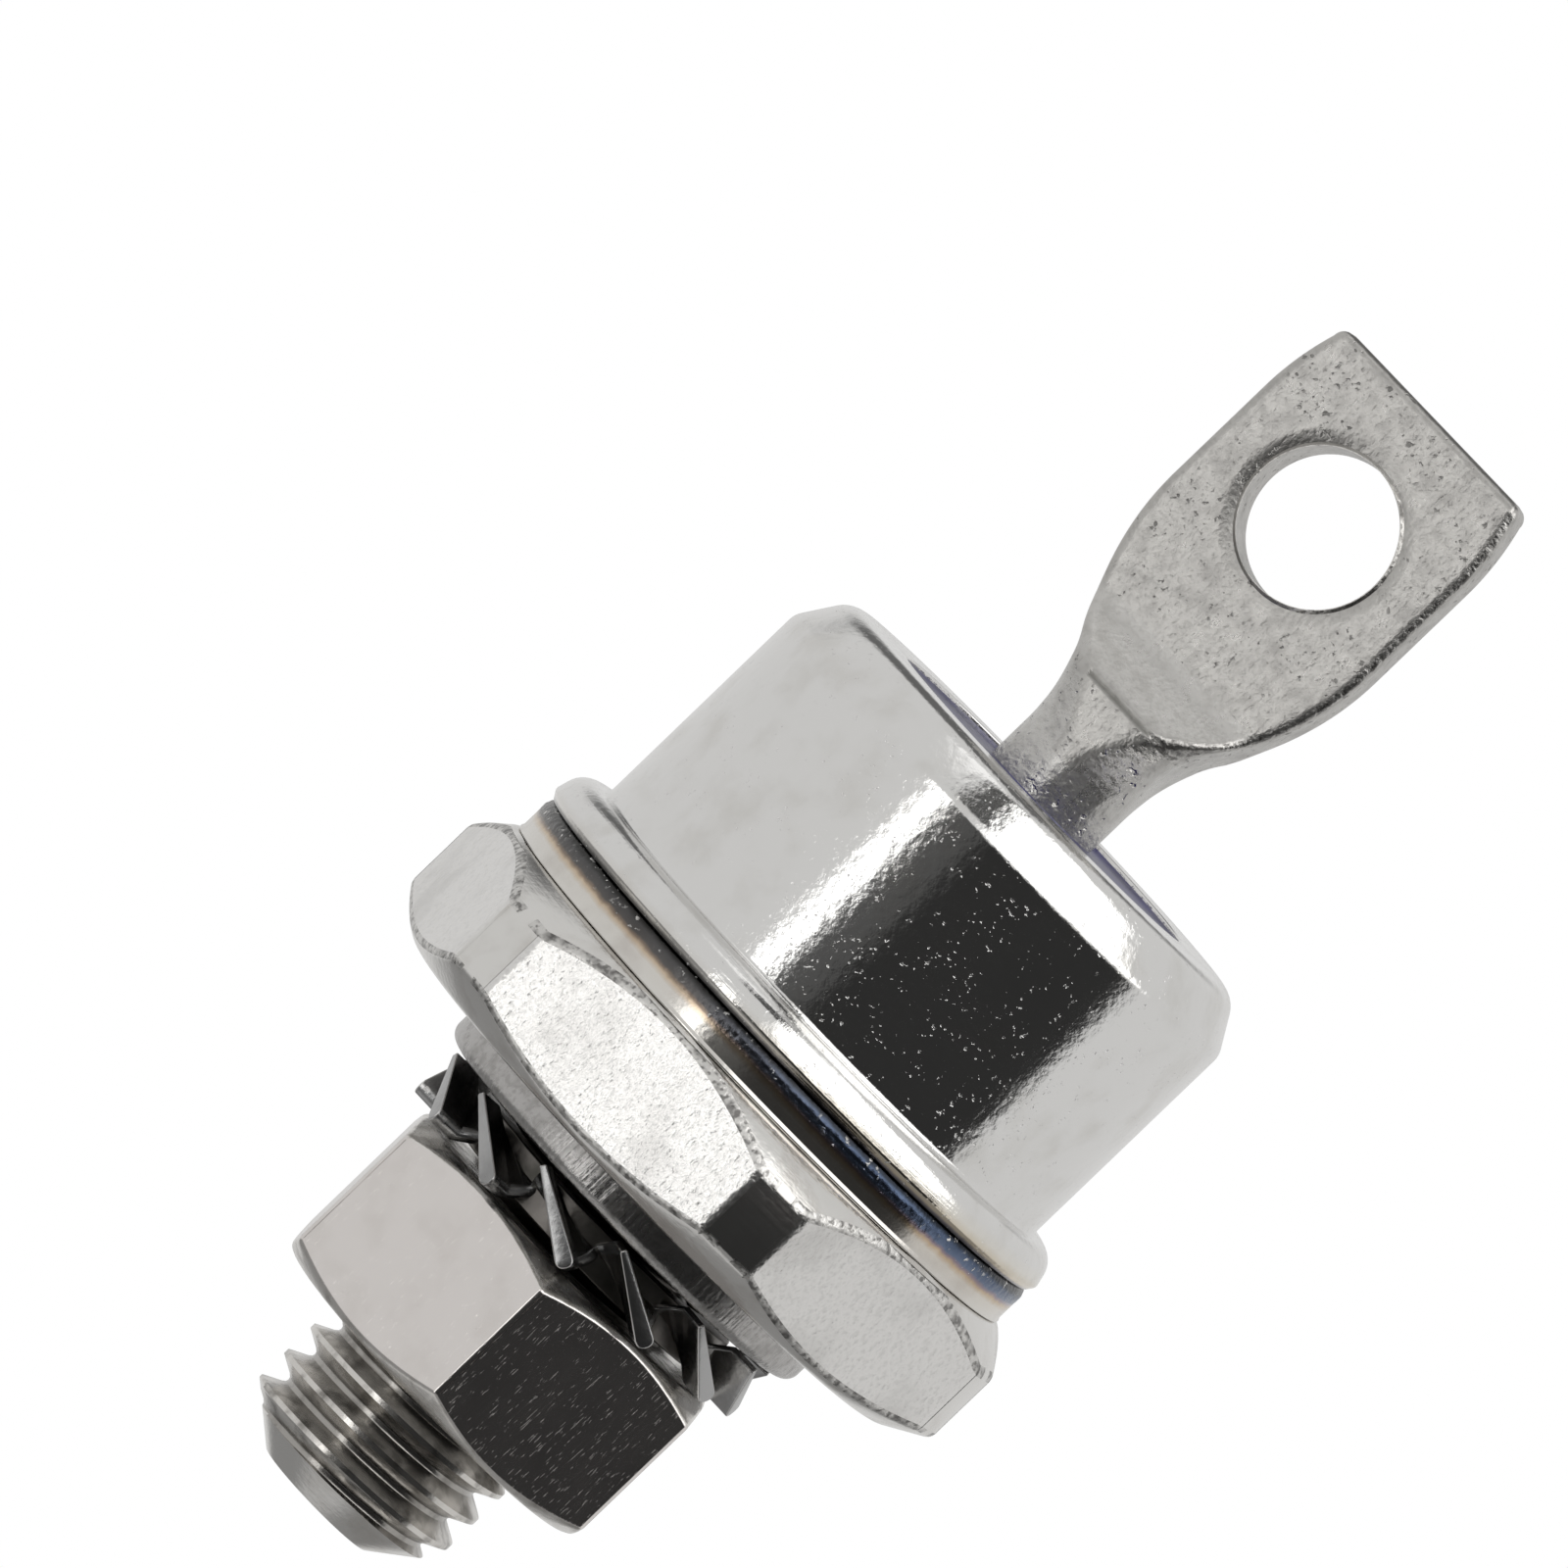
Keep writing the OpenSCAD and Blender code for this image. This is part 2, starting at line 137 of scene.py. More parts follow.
class Line:
    """A line through points, measured along its length."""

    def __init__(self, points: list[Point]) -> None:
        """Measures the line.

        Args:
            points: Its points in order.
        """
        self.points = points
        self.lengths = [0.0]
        for here, there in zip(points, points[1:]):
            self.lengths.append(self.lengths[-1] + math.dist(here, there))

    def at(self, distance: float) -> Point:
        """Point at a distance along the line.

        Args:
            distance: Distance from the first point.

        Returns:
            The point.
        """
        last = len(self.points) - 1
        end = next((k for k in range(1, last) if distance <= self.lengths[k]), last)
        span = self.lengths[end] - self.lengths[end - 1]
        share = (distance - self.lengths[end - 1]) / span if span > TINY else 0.0
        a, b = self.points[end - 1], self.points[end]
        return (a[0] + (b[0] - a[0]) * share, a[1] + (b[1] - a[1]) * share)


class Bench:
    """The modelling bench: the operators that all the pieces are made with."""

    @staticmethod
    def pick(obj: Object) -> None:
        """Selects one object alone.

        Args:
            obj: The object, which becomes the active one.
        """
        bpy.ops.object.select_all(action="DESELECT")
        obj.select_set(True)
        bpy.context.view_layer.objects.active = obj

    @staticmethod
    def edit() -> None:
        """Opens the active mesh with all of it selected."""
        bpy.ops.object.mode_set(mode="EDIT")
        bpy.ops.mesh.select_mode(type="VERT")
        bpy.ops.mesh.select_all(action="SELECT")

    @staticmethod
    def choose(obj: Object, kind: str,
               chosen: Callable[[bpy.types.MeshEdge | bpy.types.MeshPolygon], bool]) -> None:
        """Opens a mesh with some of its edges or faces selected.

        Args:
            obj: The object.
            kind: EDGE or FACE.
            chosen: Test that an edge or face has to pass.
        """
        Bench.pick(obj)
        bpy.ops.object.mode_set(mode="EDIT")
        bpy.ops.mesh.select_mode(type=kind)
        bpy.ops.mesh.select_all(action="DESELECT")
        bpy.ops.object.mode_set(mode="OBJECT")
        for element in obj.data.edges if kind == "EDGE" else obj.data.polygons:
            element.select = chosen(element)
        bpy.ops.object.mode_set(mode="EDIT")

    @staticmethod
    def close(repair: bool = True) -> Object:
        """Leaves edit mode.

        Args:
            repair: Whether doubles are merged and the faces turned outwards first.

        Returns:
            The active object.
        """
        if repair:
            bpy.ops.mesh.select_all(action="SELECT")
            bpy.ops.mesh.remove_doubles(threshold=MERGE)
            bpy.ops.mesh.normals_make_consistent(inside=False)
        bpy.ops.object.mode_set(mode="OBJECT")
        return bpy.context.object

    @staticmethod
    def draw(points: list[Point]) -> None:
        """Draws a profile in the XZ plane by extruding a vertex from point to point.

        Args:
            points: Radius and height of each point.
        """
        bpy.ops.mesh.primitive_plane_add(size=0.1, location=(points[0][0], 0, points[0][1]))
        bpy.ops.object.transform_apply(location=True)
        Bench.edit()
        bpy.ops.mesh.merge(type="CENTER")
        for here, there in zip(points, points[1:]):
            step = (there[0] - here[0], 0, there[1] - here[1])
            bpy.ops.mesh.extrude_region_move(TRANSFORM_OT_translate={"value": step})

    @staticmethod
    def turn(name: str, corners: list[Corner], closed: bool = True, steps: int = STEPS) -> Object:
        """Turns a profile into a solid of revolution.

        Args:
            name: Name of the piece.
            corners: Radius, height and rounding of each corner of the profile.
            closed: Whether the profile is a loop, and not a line from axis to axis.
            steps: Facets round the axis.

        Returns:
            The turned object.
        """
        points = rounded(corners, closed)
        Bench.draw(points + points[:1] if closed else points)
        bpy.ops.mesh.select_all(action="SELECT")
        bpy.ops.mesh.spin(steps=steps, angle=2 * math.pi, center=(0, 0, 0), axis=(0, 0, 1))
        obj = Bench.close()
        obj.name = name
        return obj

    @staticmethod
    def mill(obj: Object, flats: float, first: float) -> None:
        """Cuts six flats on a turned blank.

        Args:
            obj: The blank.
            flats: Width across the flats.
            first: Direction of the first flat in degrees from the X axis.
        """
        Bench.pick(obj)
        Bench.edit()
        for side in range(SIDES):
            angle = math.radians(first + 360 / SIDES * side)
            out = Vector((math.cos(angle), math.sin(angle), 0))
            bpy.ops.mesh.select_all(action="SELECT")
            bpy.ops.mesh.bisect(plane_co=out * flats / 2, plane_no=out, use_fill=True,
                                clear_outer=True, threshold=1e-5)
        Bench.close()

    @staticmethod
    def modify(obj: Object, kind: str, **settings: object) -> None:
        """Applies a modifier to a piece.

        Args:
            obj: The piece.
            kind: Type of the modifier.
            settings: Properties of the modifier.
        """
        Bench.pick(obj)
        modifier = obj.modifiers.new(kind.lower(), kind)
        for key, value in settings.items():
            setattr(modifier, key, value)
        bpy.ops.object.modifier_apply(modifier=modifier.name)

    @staticmethod
    def soften(obj: Object, width: float, angle: float, segments: int = 3) -> None:
        """Rounds the sharp edges of a piece.

        Args:
            obj: The piece.
            width: Width of the rounding.
            angle: Least angle of an edge that is rounded, in degrees.
            segments: Facets across the rounding.
        """
        Bench.modify(obj, "BEVEL", width=width, segments=segments, limit_method="ANGLE",
                     angle_limit=math.radians(angle), use_clamp_overlap=False)

    @staticmethod
    def combine(obj: Object, tool: Object, cut: Cut) -> None:
        """Joins, trims or bores a piece with a tool shape, which is used up.

        Args:
            obj: The piece.
            tool: The tool shape.
            cut: How the tool acts.
        """
        Bench.modify(obj, "BOOLEAN", operation=cut.value, solver="EXACT", object=tool)
        bpy.data.objects.remove(tool)

    @staticmethod
    def place(obj: Object, matrix: Matrix) -> None:
        """Moves a mesh for good, with its object left at the origin.

        Args:
            obj: The object.
            matrix: The move.
        """
        Bench.pick(obj)
        obj.matrix_world = matrix
        bpy.ops.object.transform_apply(location=True, rotation=True, scale=True)

    @staticmethod
    def shade(obj: Object, angle: float, weighted: bool) -> None:
        """Smooths the shading of a piece below an edge angle.

        Args:
            obj: The piece.
            angle: Greatest angle, in degrees, that shades as one surface.
            weighted: Whether large faces keep their own direction at their edges.
        """
        Bench.pick(obj)
        bpy.ops.object.shade_smooth_by_angle(angle=math.radians(angle))
        if weighted:
            Bench.modify(obj, "WEIGHTED_NORMAL", keep_sharp=True)


class Sheet:
    """Node tree of a material or a world, with short calls for the nodes that it uses."""

    MIX_ENDS = (6, 7)
    MIX_RESULT = 2

    def __init__(self, owner: bpy.types.Material | bpy.types.World) -> None:
        """Opens the node tree of its owner.

        Args:
            owner: The material or world.
        """
        owner.use_nodes = True
        self.tree = owner.node_tree
        self.shader = next((n for n in self.tree.nodes if n.type == "BSDF_PRINCIPLED"), None)

    def put(self, kind: str, inputs: dict[str | int, object], **settings: object) -> bpy.types.Node:
        """Adds a node.

        Args:
            kind: Type of the node, without its common prefix.
            inputs: Constant or socket for each input.
            settings: Properties of the node.

        Returns:
            The node.
        """
        node = self.tree.nodes.new("ShaderNode" + kind)
        for key, value in settings.items():
            setattr(node, key, value)
        for key, value in inputs.items():
            if isinstance(value, Socket):
                self.tree.links.new(value, node.inputs[key])
            else:
                node.inputs[key].default_value = value
        return node

    def sum(self, kind: str, *terms: Socket | float) -> Socket:
        """Result of a maths node of the named kind on its terms."""
        return self.put("Math", dict(enumerate(terms)), operation=kind).outputs[0]

    def centred(self, pattern: Socket) -> Socket:
        """A pattern about one half, moved to lie about zero."""
        return self.sum("SUBTRACT", pattern, 0.5)

    def step(self, value: Socket, low: float, high: float, to: Point = (0.0, 1.0)) -> Socket:
        """Eased step of a value from one limit to another.

        Args:
            value: Socket to map.
            low: Value at the start of the step.
            high: Value at its end.
            to: Results at both ends.

        Returns:
            The mapped socket.
        """
        inputs = {"Value": value, "From Min": low, "From Max": high, "To Min": to[0], "To Max": to[1]}
        return self.put("MapRange", inputs, interpolation_type="SMOOTHSTEP").outputs[0]

    def mix(self, share: Socket | float, one: Socket | Color, other: Socket | Color,
            blend: str = "MIX") -> Socket:
        """Blend of two colours.

        Args:
            share: Share of the second colour.
            one: First colour.
            other: Second colour.
            blend: Blending rule.

        Returns:
            The blended colour.
        """
        ends = {slot: end if isinstance(end, Socket) else (*end, 1.0)
                for slot, end in zip(self.MIX_ENDS, (one, other))}
        node = self.put("Mix", {0: share, **ends}, data_type="RGBA", blend_type=blend)
        return node.outputs[self.MIX_RESULT]

    def millimetres(self) -> Socket:
        """Object coordinates in millimetres."""
        where = self.put("TexCoord", {}).outputs["Object"]
        return self.put("Mapping", {"Vector": where, "Scale": (1 / MM,) * 3}).outputs[0]

    def radius(self, where: Socket) -> Socket:
        """Distance from the axis."""
        flat = self.put("VectorMath", {0: where, 1: (1.0, 1.0, 0.0)}, operation="MULTIPLY").outputs[0]
        return self.put("VectorMath", {0: flat}, operation="LENGTH").outputs["Value"]

    def noise(self, where: Socket, scale: float, detail: float = 4.0,
              stretch: Spot = (1.0, 1.0, 1.0)) -> Socket:
        """Cloudy pattern.

        Args:
            where: Coordinates.
            scale: Features to the millimetre.
            detail: Octaves of finer features.
            stretch: Scale along each axis.

        Returns:
            A value about one half.
        """
        if stretch != (1.0, 1.0, 1.0):
            where = self.put("Mapping", {"Vector": where, "Scale": stretch}).outputs[0]
        return self.put("TexNoise", {"Vector": where, "Scale": scale, "Detail": detail}).outputs[0]

    def surface(self, color: Socket, rough: Socket, height: Socket) -> None:
        """Wires colour, roughness and relief into the shader.

        Args:
            color: Base colour.
            rough: Roughness.
            height: Relief in millimetres.
        """
        links = self.tree.links
        links.new(color, self.shader.inputs["Base Color"])
        links.new(rough, self.shader.inputs["Roughness"])
        bump = self.put("Bump", {"Height": height, "Strength": 1.0, "Distance": MM})
        links.new(bump.outputs[0], self.shader.inputs["Normal"])


@dataclass(frozen=True)
class Finish:
    """A finish that is made into a material once."""

    name: str

    def paint(self, sheet: Sheet) -> None:
        """Draws the finish on its sheet."""
        raise NotImplementedError

    def material(self) -> bpy.types.Material:
        """The material of this finish, made at its first use.

        Returns:
            The material.
        """
        if self.name not in bpy.data.materials:
            self.paint(Sheet(bpy.data.materials.new(self.name)))
        return bpy.data.materials[self.name]


# Limits between which a pattern of a metal finish fades in, and the scales and shares of patterns.
STAINED: Point = (0.45, 0.75)
# painted shade: the limits between which the hollows of the grain are darkened
HOLLOW_SHADED: Point = (0.36, 0.5)
PATCHED: Point = (0.42, 0.62)
PATCH_SCALE = 0.2
PIT_SLOPE = 0.1
PIT_FLOOR: Color = (0.09, 0.09, 0.085)
# share of painted shade in the roots of a thread
ROOT_SHADE_SHARE = 0.6
LINE_STRETCH: Spot = (1.0, 1.0, 0.04)
DRIFT_SCALE = 0.16
RAGGED_SCALE = 3.0
RAGGED_SHARE = 0.5
TINT_AND_SHADE_SIDES: Point = (-1.0, 6.0)


@dataclass(frozen=True)
class Metal(Finish):
    """A metal finish: colour with its stains and the colour of its painted shade, gloss, grain, making
    lines and pits, in millimetres.
    """

    color: Color
    stain_and_shade: Color
    roughness: float
    spread: float = 0.1
    dapple: float = 0.7
    grain: float = 6.0
    depth: float = 0.002
    streak: Streak = Streak.NONE
    streak_scale: float = 8.0
    streak_depth: float = 0.0
    # share of painted shade in the hollows of the grain
    hollow_shade: float = 0.0
    pit_scale: float = 7.0
    pit_level: float = 0.0
    pit_stretch: float = 1.0
    pit_depth: float = 0.0
    pit_rough: float = 0.4
    pit_dark: float = 0.0
    # radii inside which the roots of a thread are darkened as painted shade
    root_shade: Point = (0.0, 0.0)
    tint_and_shade: tuple[Band, ...] = ()
    band_wander: float = 0.0
    metallic: float = 1.0

    def lines(self, sheet: Sheet, where: Socket) -> Socket:
        """Fine lines left by turning, shearing or drawing.

        Args:
            sheet: Node tree.
            where: Coordinates in millimetres.

        Returns:
            A value about one half.
        """
        if self.streak is Streak.AXIAL:
            return sheet.noise(where, self.streak_scale, 3.0, LINE_STRETCH)
        height = sheet.put("SeparateXYZ", {0: where}).outputs[2]
        turned = sheet.put("CombineXYZ", {0: sheet.radius(where), 1: height}).outputs[0]
        return sheet.noise(turned, self.streak_scale, 3.0)

    def pits(self, sheet: Sheet, where: Socket) -> Socket:
        """Ragged pits that gather in patches.

        Args:
            sheet: Node tree.
            where: Coordinates in millimetres.

        Returns:
            1 in the middle of a pit and 0 between the pits.
        """
        spot = sheet.noise(where, self.pit_scale, 2.0, (1.0, 1.0, self.pit_stretch))
        bowl = sheet.step(spot, self.pit_level, self.pit_level + PIT_SLOPE)
        patch = sheet.step(sheet.noise(where, PATCH_SCALE * self.pit_scale, 1.0), *PATCHED)
        return sheet.sum("MULTIPLY", bowl, patch)

    def tinted(self, sheet: Sheet, where: Socket, color: Socket) -> Socket:
        """Heat colours, painted shade and painted light in bands up the axis, with one row of colours
        for each side.

        Args:
            sheet: Node tree.
            where: Coordinates in millimetres.
            color: Colour of the bare metal.

        Returns:
            The tinted colour.
        """
        across, _, height = sheet.put("SeparateXYZ", {0: where}).outputs
        drift = sheet.centred(sheet.noise(where, DRIFT_SCALE, 1.0))
        ragged = sheet.centred(sheet.noise(where, RAGGED_SCALE, 3.0))
        wander = sheet.sum("MULTIPLY_ADD", ragged, RAGGED_SHARE, drift)
        height = sheet.sum("MULTIPLY_ADD", wander, self.band_wander, height)
        low, high = self.tint_and_shade[0][0], self.tint_and_shade[-1][0]
        share = sheet.put("MapRange", {"Value": height, "From Min": low, "From Max": high}).outputs[0]
        sides = []
        for side in (1, 2):
            ramp = sheet.put("ValToRGB", {0: share})
            stops = ramp.color_ramp.elements
            while len(stops) < len(self.tint_and_shade):
                stops.new(1.0)
            for stop, band in zip(stops, self.tint_and_shade):
                stop.position = (band[0] - low) / (high - low)
                stop.color = (*band[side], 1.0)
            sides.append(ramp.outputs[0])
        shade = sheet.mix(sheet.step(across, *TINT_AND_SHADE_SIDES), *sides)
        return sheet.mix(1.0, color, shade, "MULTIPLY")

    def paint(self, sheet: Sheet) -> None:
        """Draws stains and grain, painted shade in hollows and thread roots, then lines, pits, and bands
        of heat colour, painted shade and painted light where the finish has them.

        Args:
            sheet: Node tree.
        """
        sheet.shader.inputs["Metallic"].default_value = self.metallic
        where = sheet.millimetres()
        cloud = sheet.noise(where, self.dapple, 5.0)
        grain = sheet.noise(where, self.grain, 5.0)
        color = sheet.mix(sheet.step(cloud, *STAINED), self.color, self.stain_and_shade)
        # painted shade: the hollows of the grain are darkened towards the stain colour
        if self.hollow_shade > 0:
            color = sheet.mix(sheet.step(grain, *HOLLOW_SHADED, (self.hollow_shade, 0.0)), color, self.stain_and_shade)
        # painted shade: the roots of a thread are darkened towards the stain colour
        if self.root_shade[1] > 0:
            root_darkening = sheet.step(sheet.radius(where), *self.root_shade, (ROOT_SHADE_SHARE, 0.0))
            color = sheet.mix(root_darkening, color, self.stain_and_shade)
        height = sheet.sum("MULTIPLY", grain, self.depth)
        rough = sheet.sum("MULTIPLY_ADD", sheet.centred(cloud), 2 * self.spread, self.roughness)
        if self.streak is not Streak.NONE:
            lines = self.lines(sheet, where)
            height = sheet.sum("MULTIPLY_ADD", lines, self.streak_depth, height)
            rough = sheet.sum("MULTIPLY_ADD", sheet.centred(lines), self.spread, rough)
        if self.pit_level > 0:
            pit = self.pits(sheet, where)
            height = sheet.sum("MULTIPLY_ADD", pit, -self.pit_depth, height)
            rough = sheet.sum("MULTIPLY_ADD", pit, self.pit_rough, rough)
            color = sheet.mix(sheet.sum("MULTIPLY", pit, self.pit_dark), color, PIT_FLOOR)
        if self.tint_and_shade:
            color = self.tinted(sheet, where, color)
            if self.pit_level > 0:
                color = sheet.mix(pit, color, self.color)
        sheet.surface(color, rough, height)


@dataclass(frozen=True)
class FusedGlass(Finish):
    """Dark fused glass with a fire-polished surface and a few bubbles."""

    deep: Color
    lit: Color
    roughness: float = 0.3
    gloss: float = 0.2
    cloud_scale: float = 0.9
    clouded: Point = (0.35, 0.7)
    cloud_rough: float = 0.08
    ripple: float = 0.03
    ripple_scale: float = 1.6
    bubble: float = 0.03
    bubble_scale: float = 1.3
    bubbled: Point = (0.03, 0.1)
    bubble_share: float = 0.35
    bubble_color: Color = (0.32, 0.32, 0.45)

    def paint(self, sheet: Sheet) -> None:
        """Draws the clouded depth, the ripples and the bubbles.

        Args:
            sheet: Node tree.
        """
        sheet.shader.inputs["Specular IOR Level"].default_value = self.gloss
        where = sheet.millimetres()
        cloud = sheet.noise(where, self.cloud_scale)
        color = sheet.mix(sheet.step(cloud, *self.clouded), self.deep, self.lit)
        cells = sheet.put("TexVoronoi", {"Vector": where, "Scale": self.bubble_scale})
        spot = sheet.step(cells.outputs["Distance"], *self.bubbled, (1.0, 0.0))
        height = sheet.sum("MULTIPLY", sheet.noise(where, self.ripple_scale, 3.0), self.ripple)
        height = sheet.sum("MULTIPLY_ADD", spot, self.bubble, height)
        color = sheet.mix(sheet.sum("MULTIPLY", spot, self.bubble_share), color, self.bubble_color)
        rough = sheet.sum("MULTIPLY_ADD", cloud, self.cloud_rough, self.roughness - self.cloud_rough / 2)
        sheet.surface(color, rough, height)


# A band has its height and the factors of the colour on the -X side and on the +X side; the bands are
# heat colours on the ring and the flange, and painted shade and painted light on the stem and the ramp
# of the terminal.
WHITE = grey(1.0)
ETCHED_HEX = Metal("etched_hexagon", (0.79, 0.78, 0.765), (0.64, 0.63, 0.615), 0.2, 0.04,
                   dapple=0.5, grain=7.0, depth=0.016, hollow_shade=0.4)
# its very dark stain colour goes into the hollows of its grain as painted shade
RAGGED_EDGE = Metal("ragged_edge", (0.66, 0.65, 0.63), (0.14, 0.135, 0.13), 0.3,
                    dapple=2.5, depth=0.03, hollow_shade=0.8)
TURNED_BASE = Metal("turned_base", (0.74, 0.73, 0.71), (0.60, 0.58, 0.55), 0.16,
                    depth=0.006, streak=Streak.ROUND, streak_scale=9.0, streak_depth=0.004)
# painted shade darkens its roots between radii 2.6 and 3.0
THREAD = Metal("rolled_thread", (0.70, 0.68, 0.65), (0.20, 0.19, 0.175), 0.2, 0.12, dapple=1.5,
               depth=0.006, root_shade=(2.6, 3.0))
# painted shade: the thread between the nut and the washers, and the ring of the lock washer, are painted
# dark
SHADED_THREAD = Metal("shaded_thread", (0.16, 0.15, 0.14), (0.07, 0.07, 0.06), 0.3, 0.12,
                      depth=0.006)
TINTED_RING = Metal("tinted_ring", (0.74, 0.73, 0.71), (0.62, 0.60, 0.58), 0.16, 0.08,
                    depth=0.004, streak=Streak.ROUND, streak_scale=14.0, streak_depth=0.004,
                    tint_and_shade=((15.20, (1.0, 0.99, 0.97), (1.0, 0.99, 0.97)),
                          (15.60, (0.98, 0.96, 0.93), (0.96, 0.92, 0.86)),
                          (15.74, (0.84, 0.70, 0.54), (0.78, 0.62, 0.44)),
                          (15.82, (0.40, 0.32, 0.26), (0.42, 0.34, 0.40)),
                          (15.90, (0.17, 0.165, 0.165), (0.20, 0.26, 0.40)),
                          (16.08, (0.13, 0.13, 0.135), (0.12, 0.165, 0.27)),
                          (16.18, grey(0.06), (0.04, 0.05, 0.07)),
                          (16.30, grey(0.04), (0.03, 0.03, 0.035))), band_wander=0.25)
WELD_BEAD = replace(TINTED_RING, name="weld_bead", roughness=0.24, grain=7.0, depth=0.016,
                    pit_scale=6.0, pit_level=0.6, pit_depth=-0.012, pit_rough=0.1)
CAN_PLATING = Metal("bright_can", (0.77, 0.765, 0.755), (0.70, 0.69, 0.67), 0.1, 0.06,
                    grain=4.0, depth=0.011, pit_scale=9.0, pit_level=0.63, pit_depth=0.006,
                    pit_rough=0.2)
PRESSED_FLANGE = replace(CAN_PLATING, name="pressed_flange", depth=0.01, streak=Streak.ROUND,
                         streak_scale=7.0, streak_depth=0.012,
                         tint_and_shade=((16.3, grey(0.06), (0.06, 0.06, 0.07)),
                               (16.36, (0.30, 0.29, 0.28), (0.30, 0.28, 0.30)),
                               (16.42, (0.92, 0.90, 0.87), (0.86, 0.76, 0.60)),
                               (16.7, WHITE, (1.0, 0.98, 0.93)),
                               (17.0, WHITE, WHITE)), band_wander=0.1)
DULL_TIN = Metal("dull_tin", (0.51, 0.50, 0.48), (0.41, 0.40, 0.385), 0.3, 0.08, dapple=2.0,
                 grain=7.0, depth=0.016, streak=Streak.AXIAL, streak_scale=6.0, hollow_shade=0.6,
                 streak_depth=0.005, pit_scale=6.0, pit_level=0.61, pit_depth=0.012, pit_rough=0.2,
                 pit_dark=0.55)
# painted shade: the bands darken the +X side of the stem and the stem below the crease
DRAWN_STEM = replace(DULL_TIN, name="drawn_stem", color=(0.62, 0.61, 0.59), stain_and_shade=(0.53, 0.52, 0.5),
                     roughness=0.28, grain=5.0, depth=0.026, hollow_shade=0.4, pit_scale=4.0,
                     pit_depth=0.035, pit_rough=-0.1, pit_dark=0.1,
                     tint_and_shade=((25.0, grey(0.96), grey(0.8)), (27.0, grey(0.96), grey(0.8)),
                           (27.9, grey(0.82), grey(0.82))))
# painted light and painted shadow: the ramp is lighter than the dull tin, most along its upper part,
# with a dark line across the crease
PRESSED_RAMP = replace(DULL_TIN, name="pressed_ramp", color=(0.60, 0.59, 0.57), pit_level=0.0,
                       stain_and_shade=(0.50, 0.49, 0.47), band_wander=0.04,
                       tint_and_shade=((27.9, grey(0.85), grey(0.85)),
                             (28.0, (0.44, 0.44, 0.43), (0.5, 0.5, 0.49)),
                             (28.08, (0.44, 0.44, 0.43), (0.5, 0.5, 0.49)),
                             (28.2, grey(0.9), grey(0.9)), (29.0, WHITE, WHITE),
                             (29.55, WHITE, WHITE), (29.8, grey(0.85), grey(0.85))))
SHEARED_EDGE = replace(RAGGED_EDGE, name="sheared_edge", color=(0.58, 0.57, 0.55), dapple=3.0,
                       depth=0.04)
SHEARED_STEEL = Metal("sheared_washer", (0.48, 0.47, 0.46), (0.34, 0.33, 0.32), 0.26,
                      dapple=2.0, depth=0.016, streak=Streak.AXIAL, streak_depth=0.022, hollow_shade=0.6)
# painted shade: the lock washer between the nut and the flat washer is painted dark
SHADED_SPRING = Metal("shaded_spring", grey(0.42), grey(0.28), 0.24, grain=5.0, depth=0.01)
# painted highlight: the lighter colour of the outward faces at the tips of the teeth
LIT_TOOTH_TIP = Metal("lit_tooth_tip", (0.78, 0.77, 0.76), (0.60, 0.59, 0.58), 0.3, depth=0.008)
NUT_PLATING = Metal("bright_nut", (0.77, 0.735, 0.715), (0.72, 0.685, 0.66), 0.15, 0.06,
                    grain=4.0, depth=0.004, streak=Streak.AXIAL, streak_scale=9.0,
                    streak_depth=0.005, pit_scale=24.0, pit_level=0.583, pit_stretch=0.08,
                    pit_depth=0.0015, pit_rough=0.05)
WORN_CHAMFER = Metal("worn_chamfer", (0.78, 0.76, 0.73), (0.42, 0.40, 0.37), 0.26, 0.14,
                     dapple=1.4, grain=5.0, depth=0.008, streak=Streak.ROUND, streak_scale=6.0,
                     streak_depth=0.006)
SEAL_GLASS = FusedGlass("fused_glass", (0.010, 0.009, 0.075), (0.022, 0.020, 0.15))
BARE_COPPER = Metal("bare_copper", (0.80, 0.47, 0.32), (0.60, 0.32, 0.20), 0.3, 0.12,
                    streak=Streak.AXIAL, streak_depth=0.004)
LAPPED_DISC = Metal("lapped_disc", (0.55, 0.55, 0.57), (0.45, 0.45, 0.46), 0.32, 0.08,
                    streak=Streak.ROUND, streak_depth=0.003)
CRYSTAL = Metal("polished_crystal", (0.22, 0.23, 0.27), (0.16, 0.17, 0.21), 0.14, 0.05,
                depth=0.0005, metallic=0.6)
VARNISH = Metal("cured_varnish", (0.42, 0.17, 0.07), (0.30, 0.10, 0.04), 0.35, grain=2.0,
                depth=0.02, metallic=0.0)


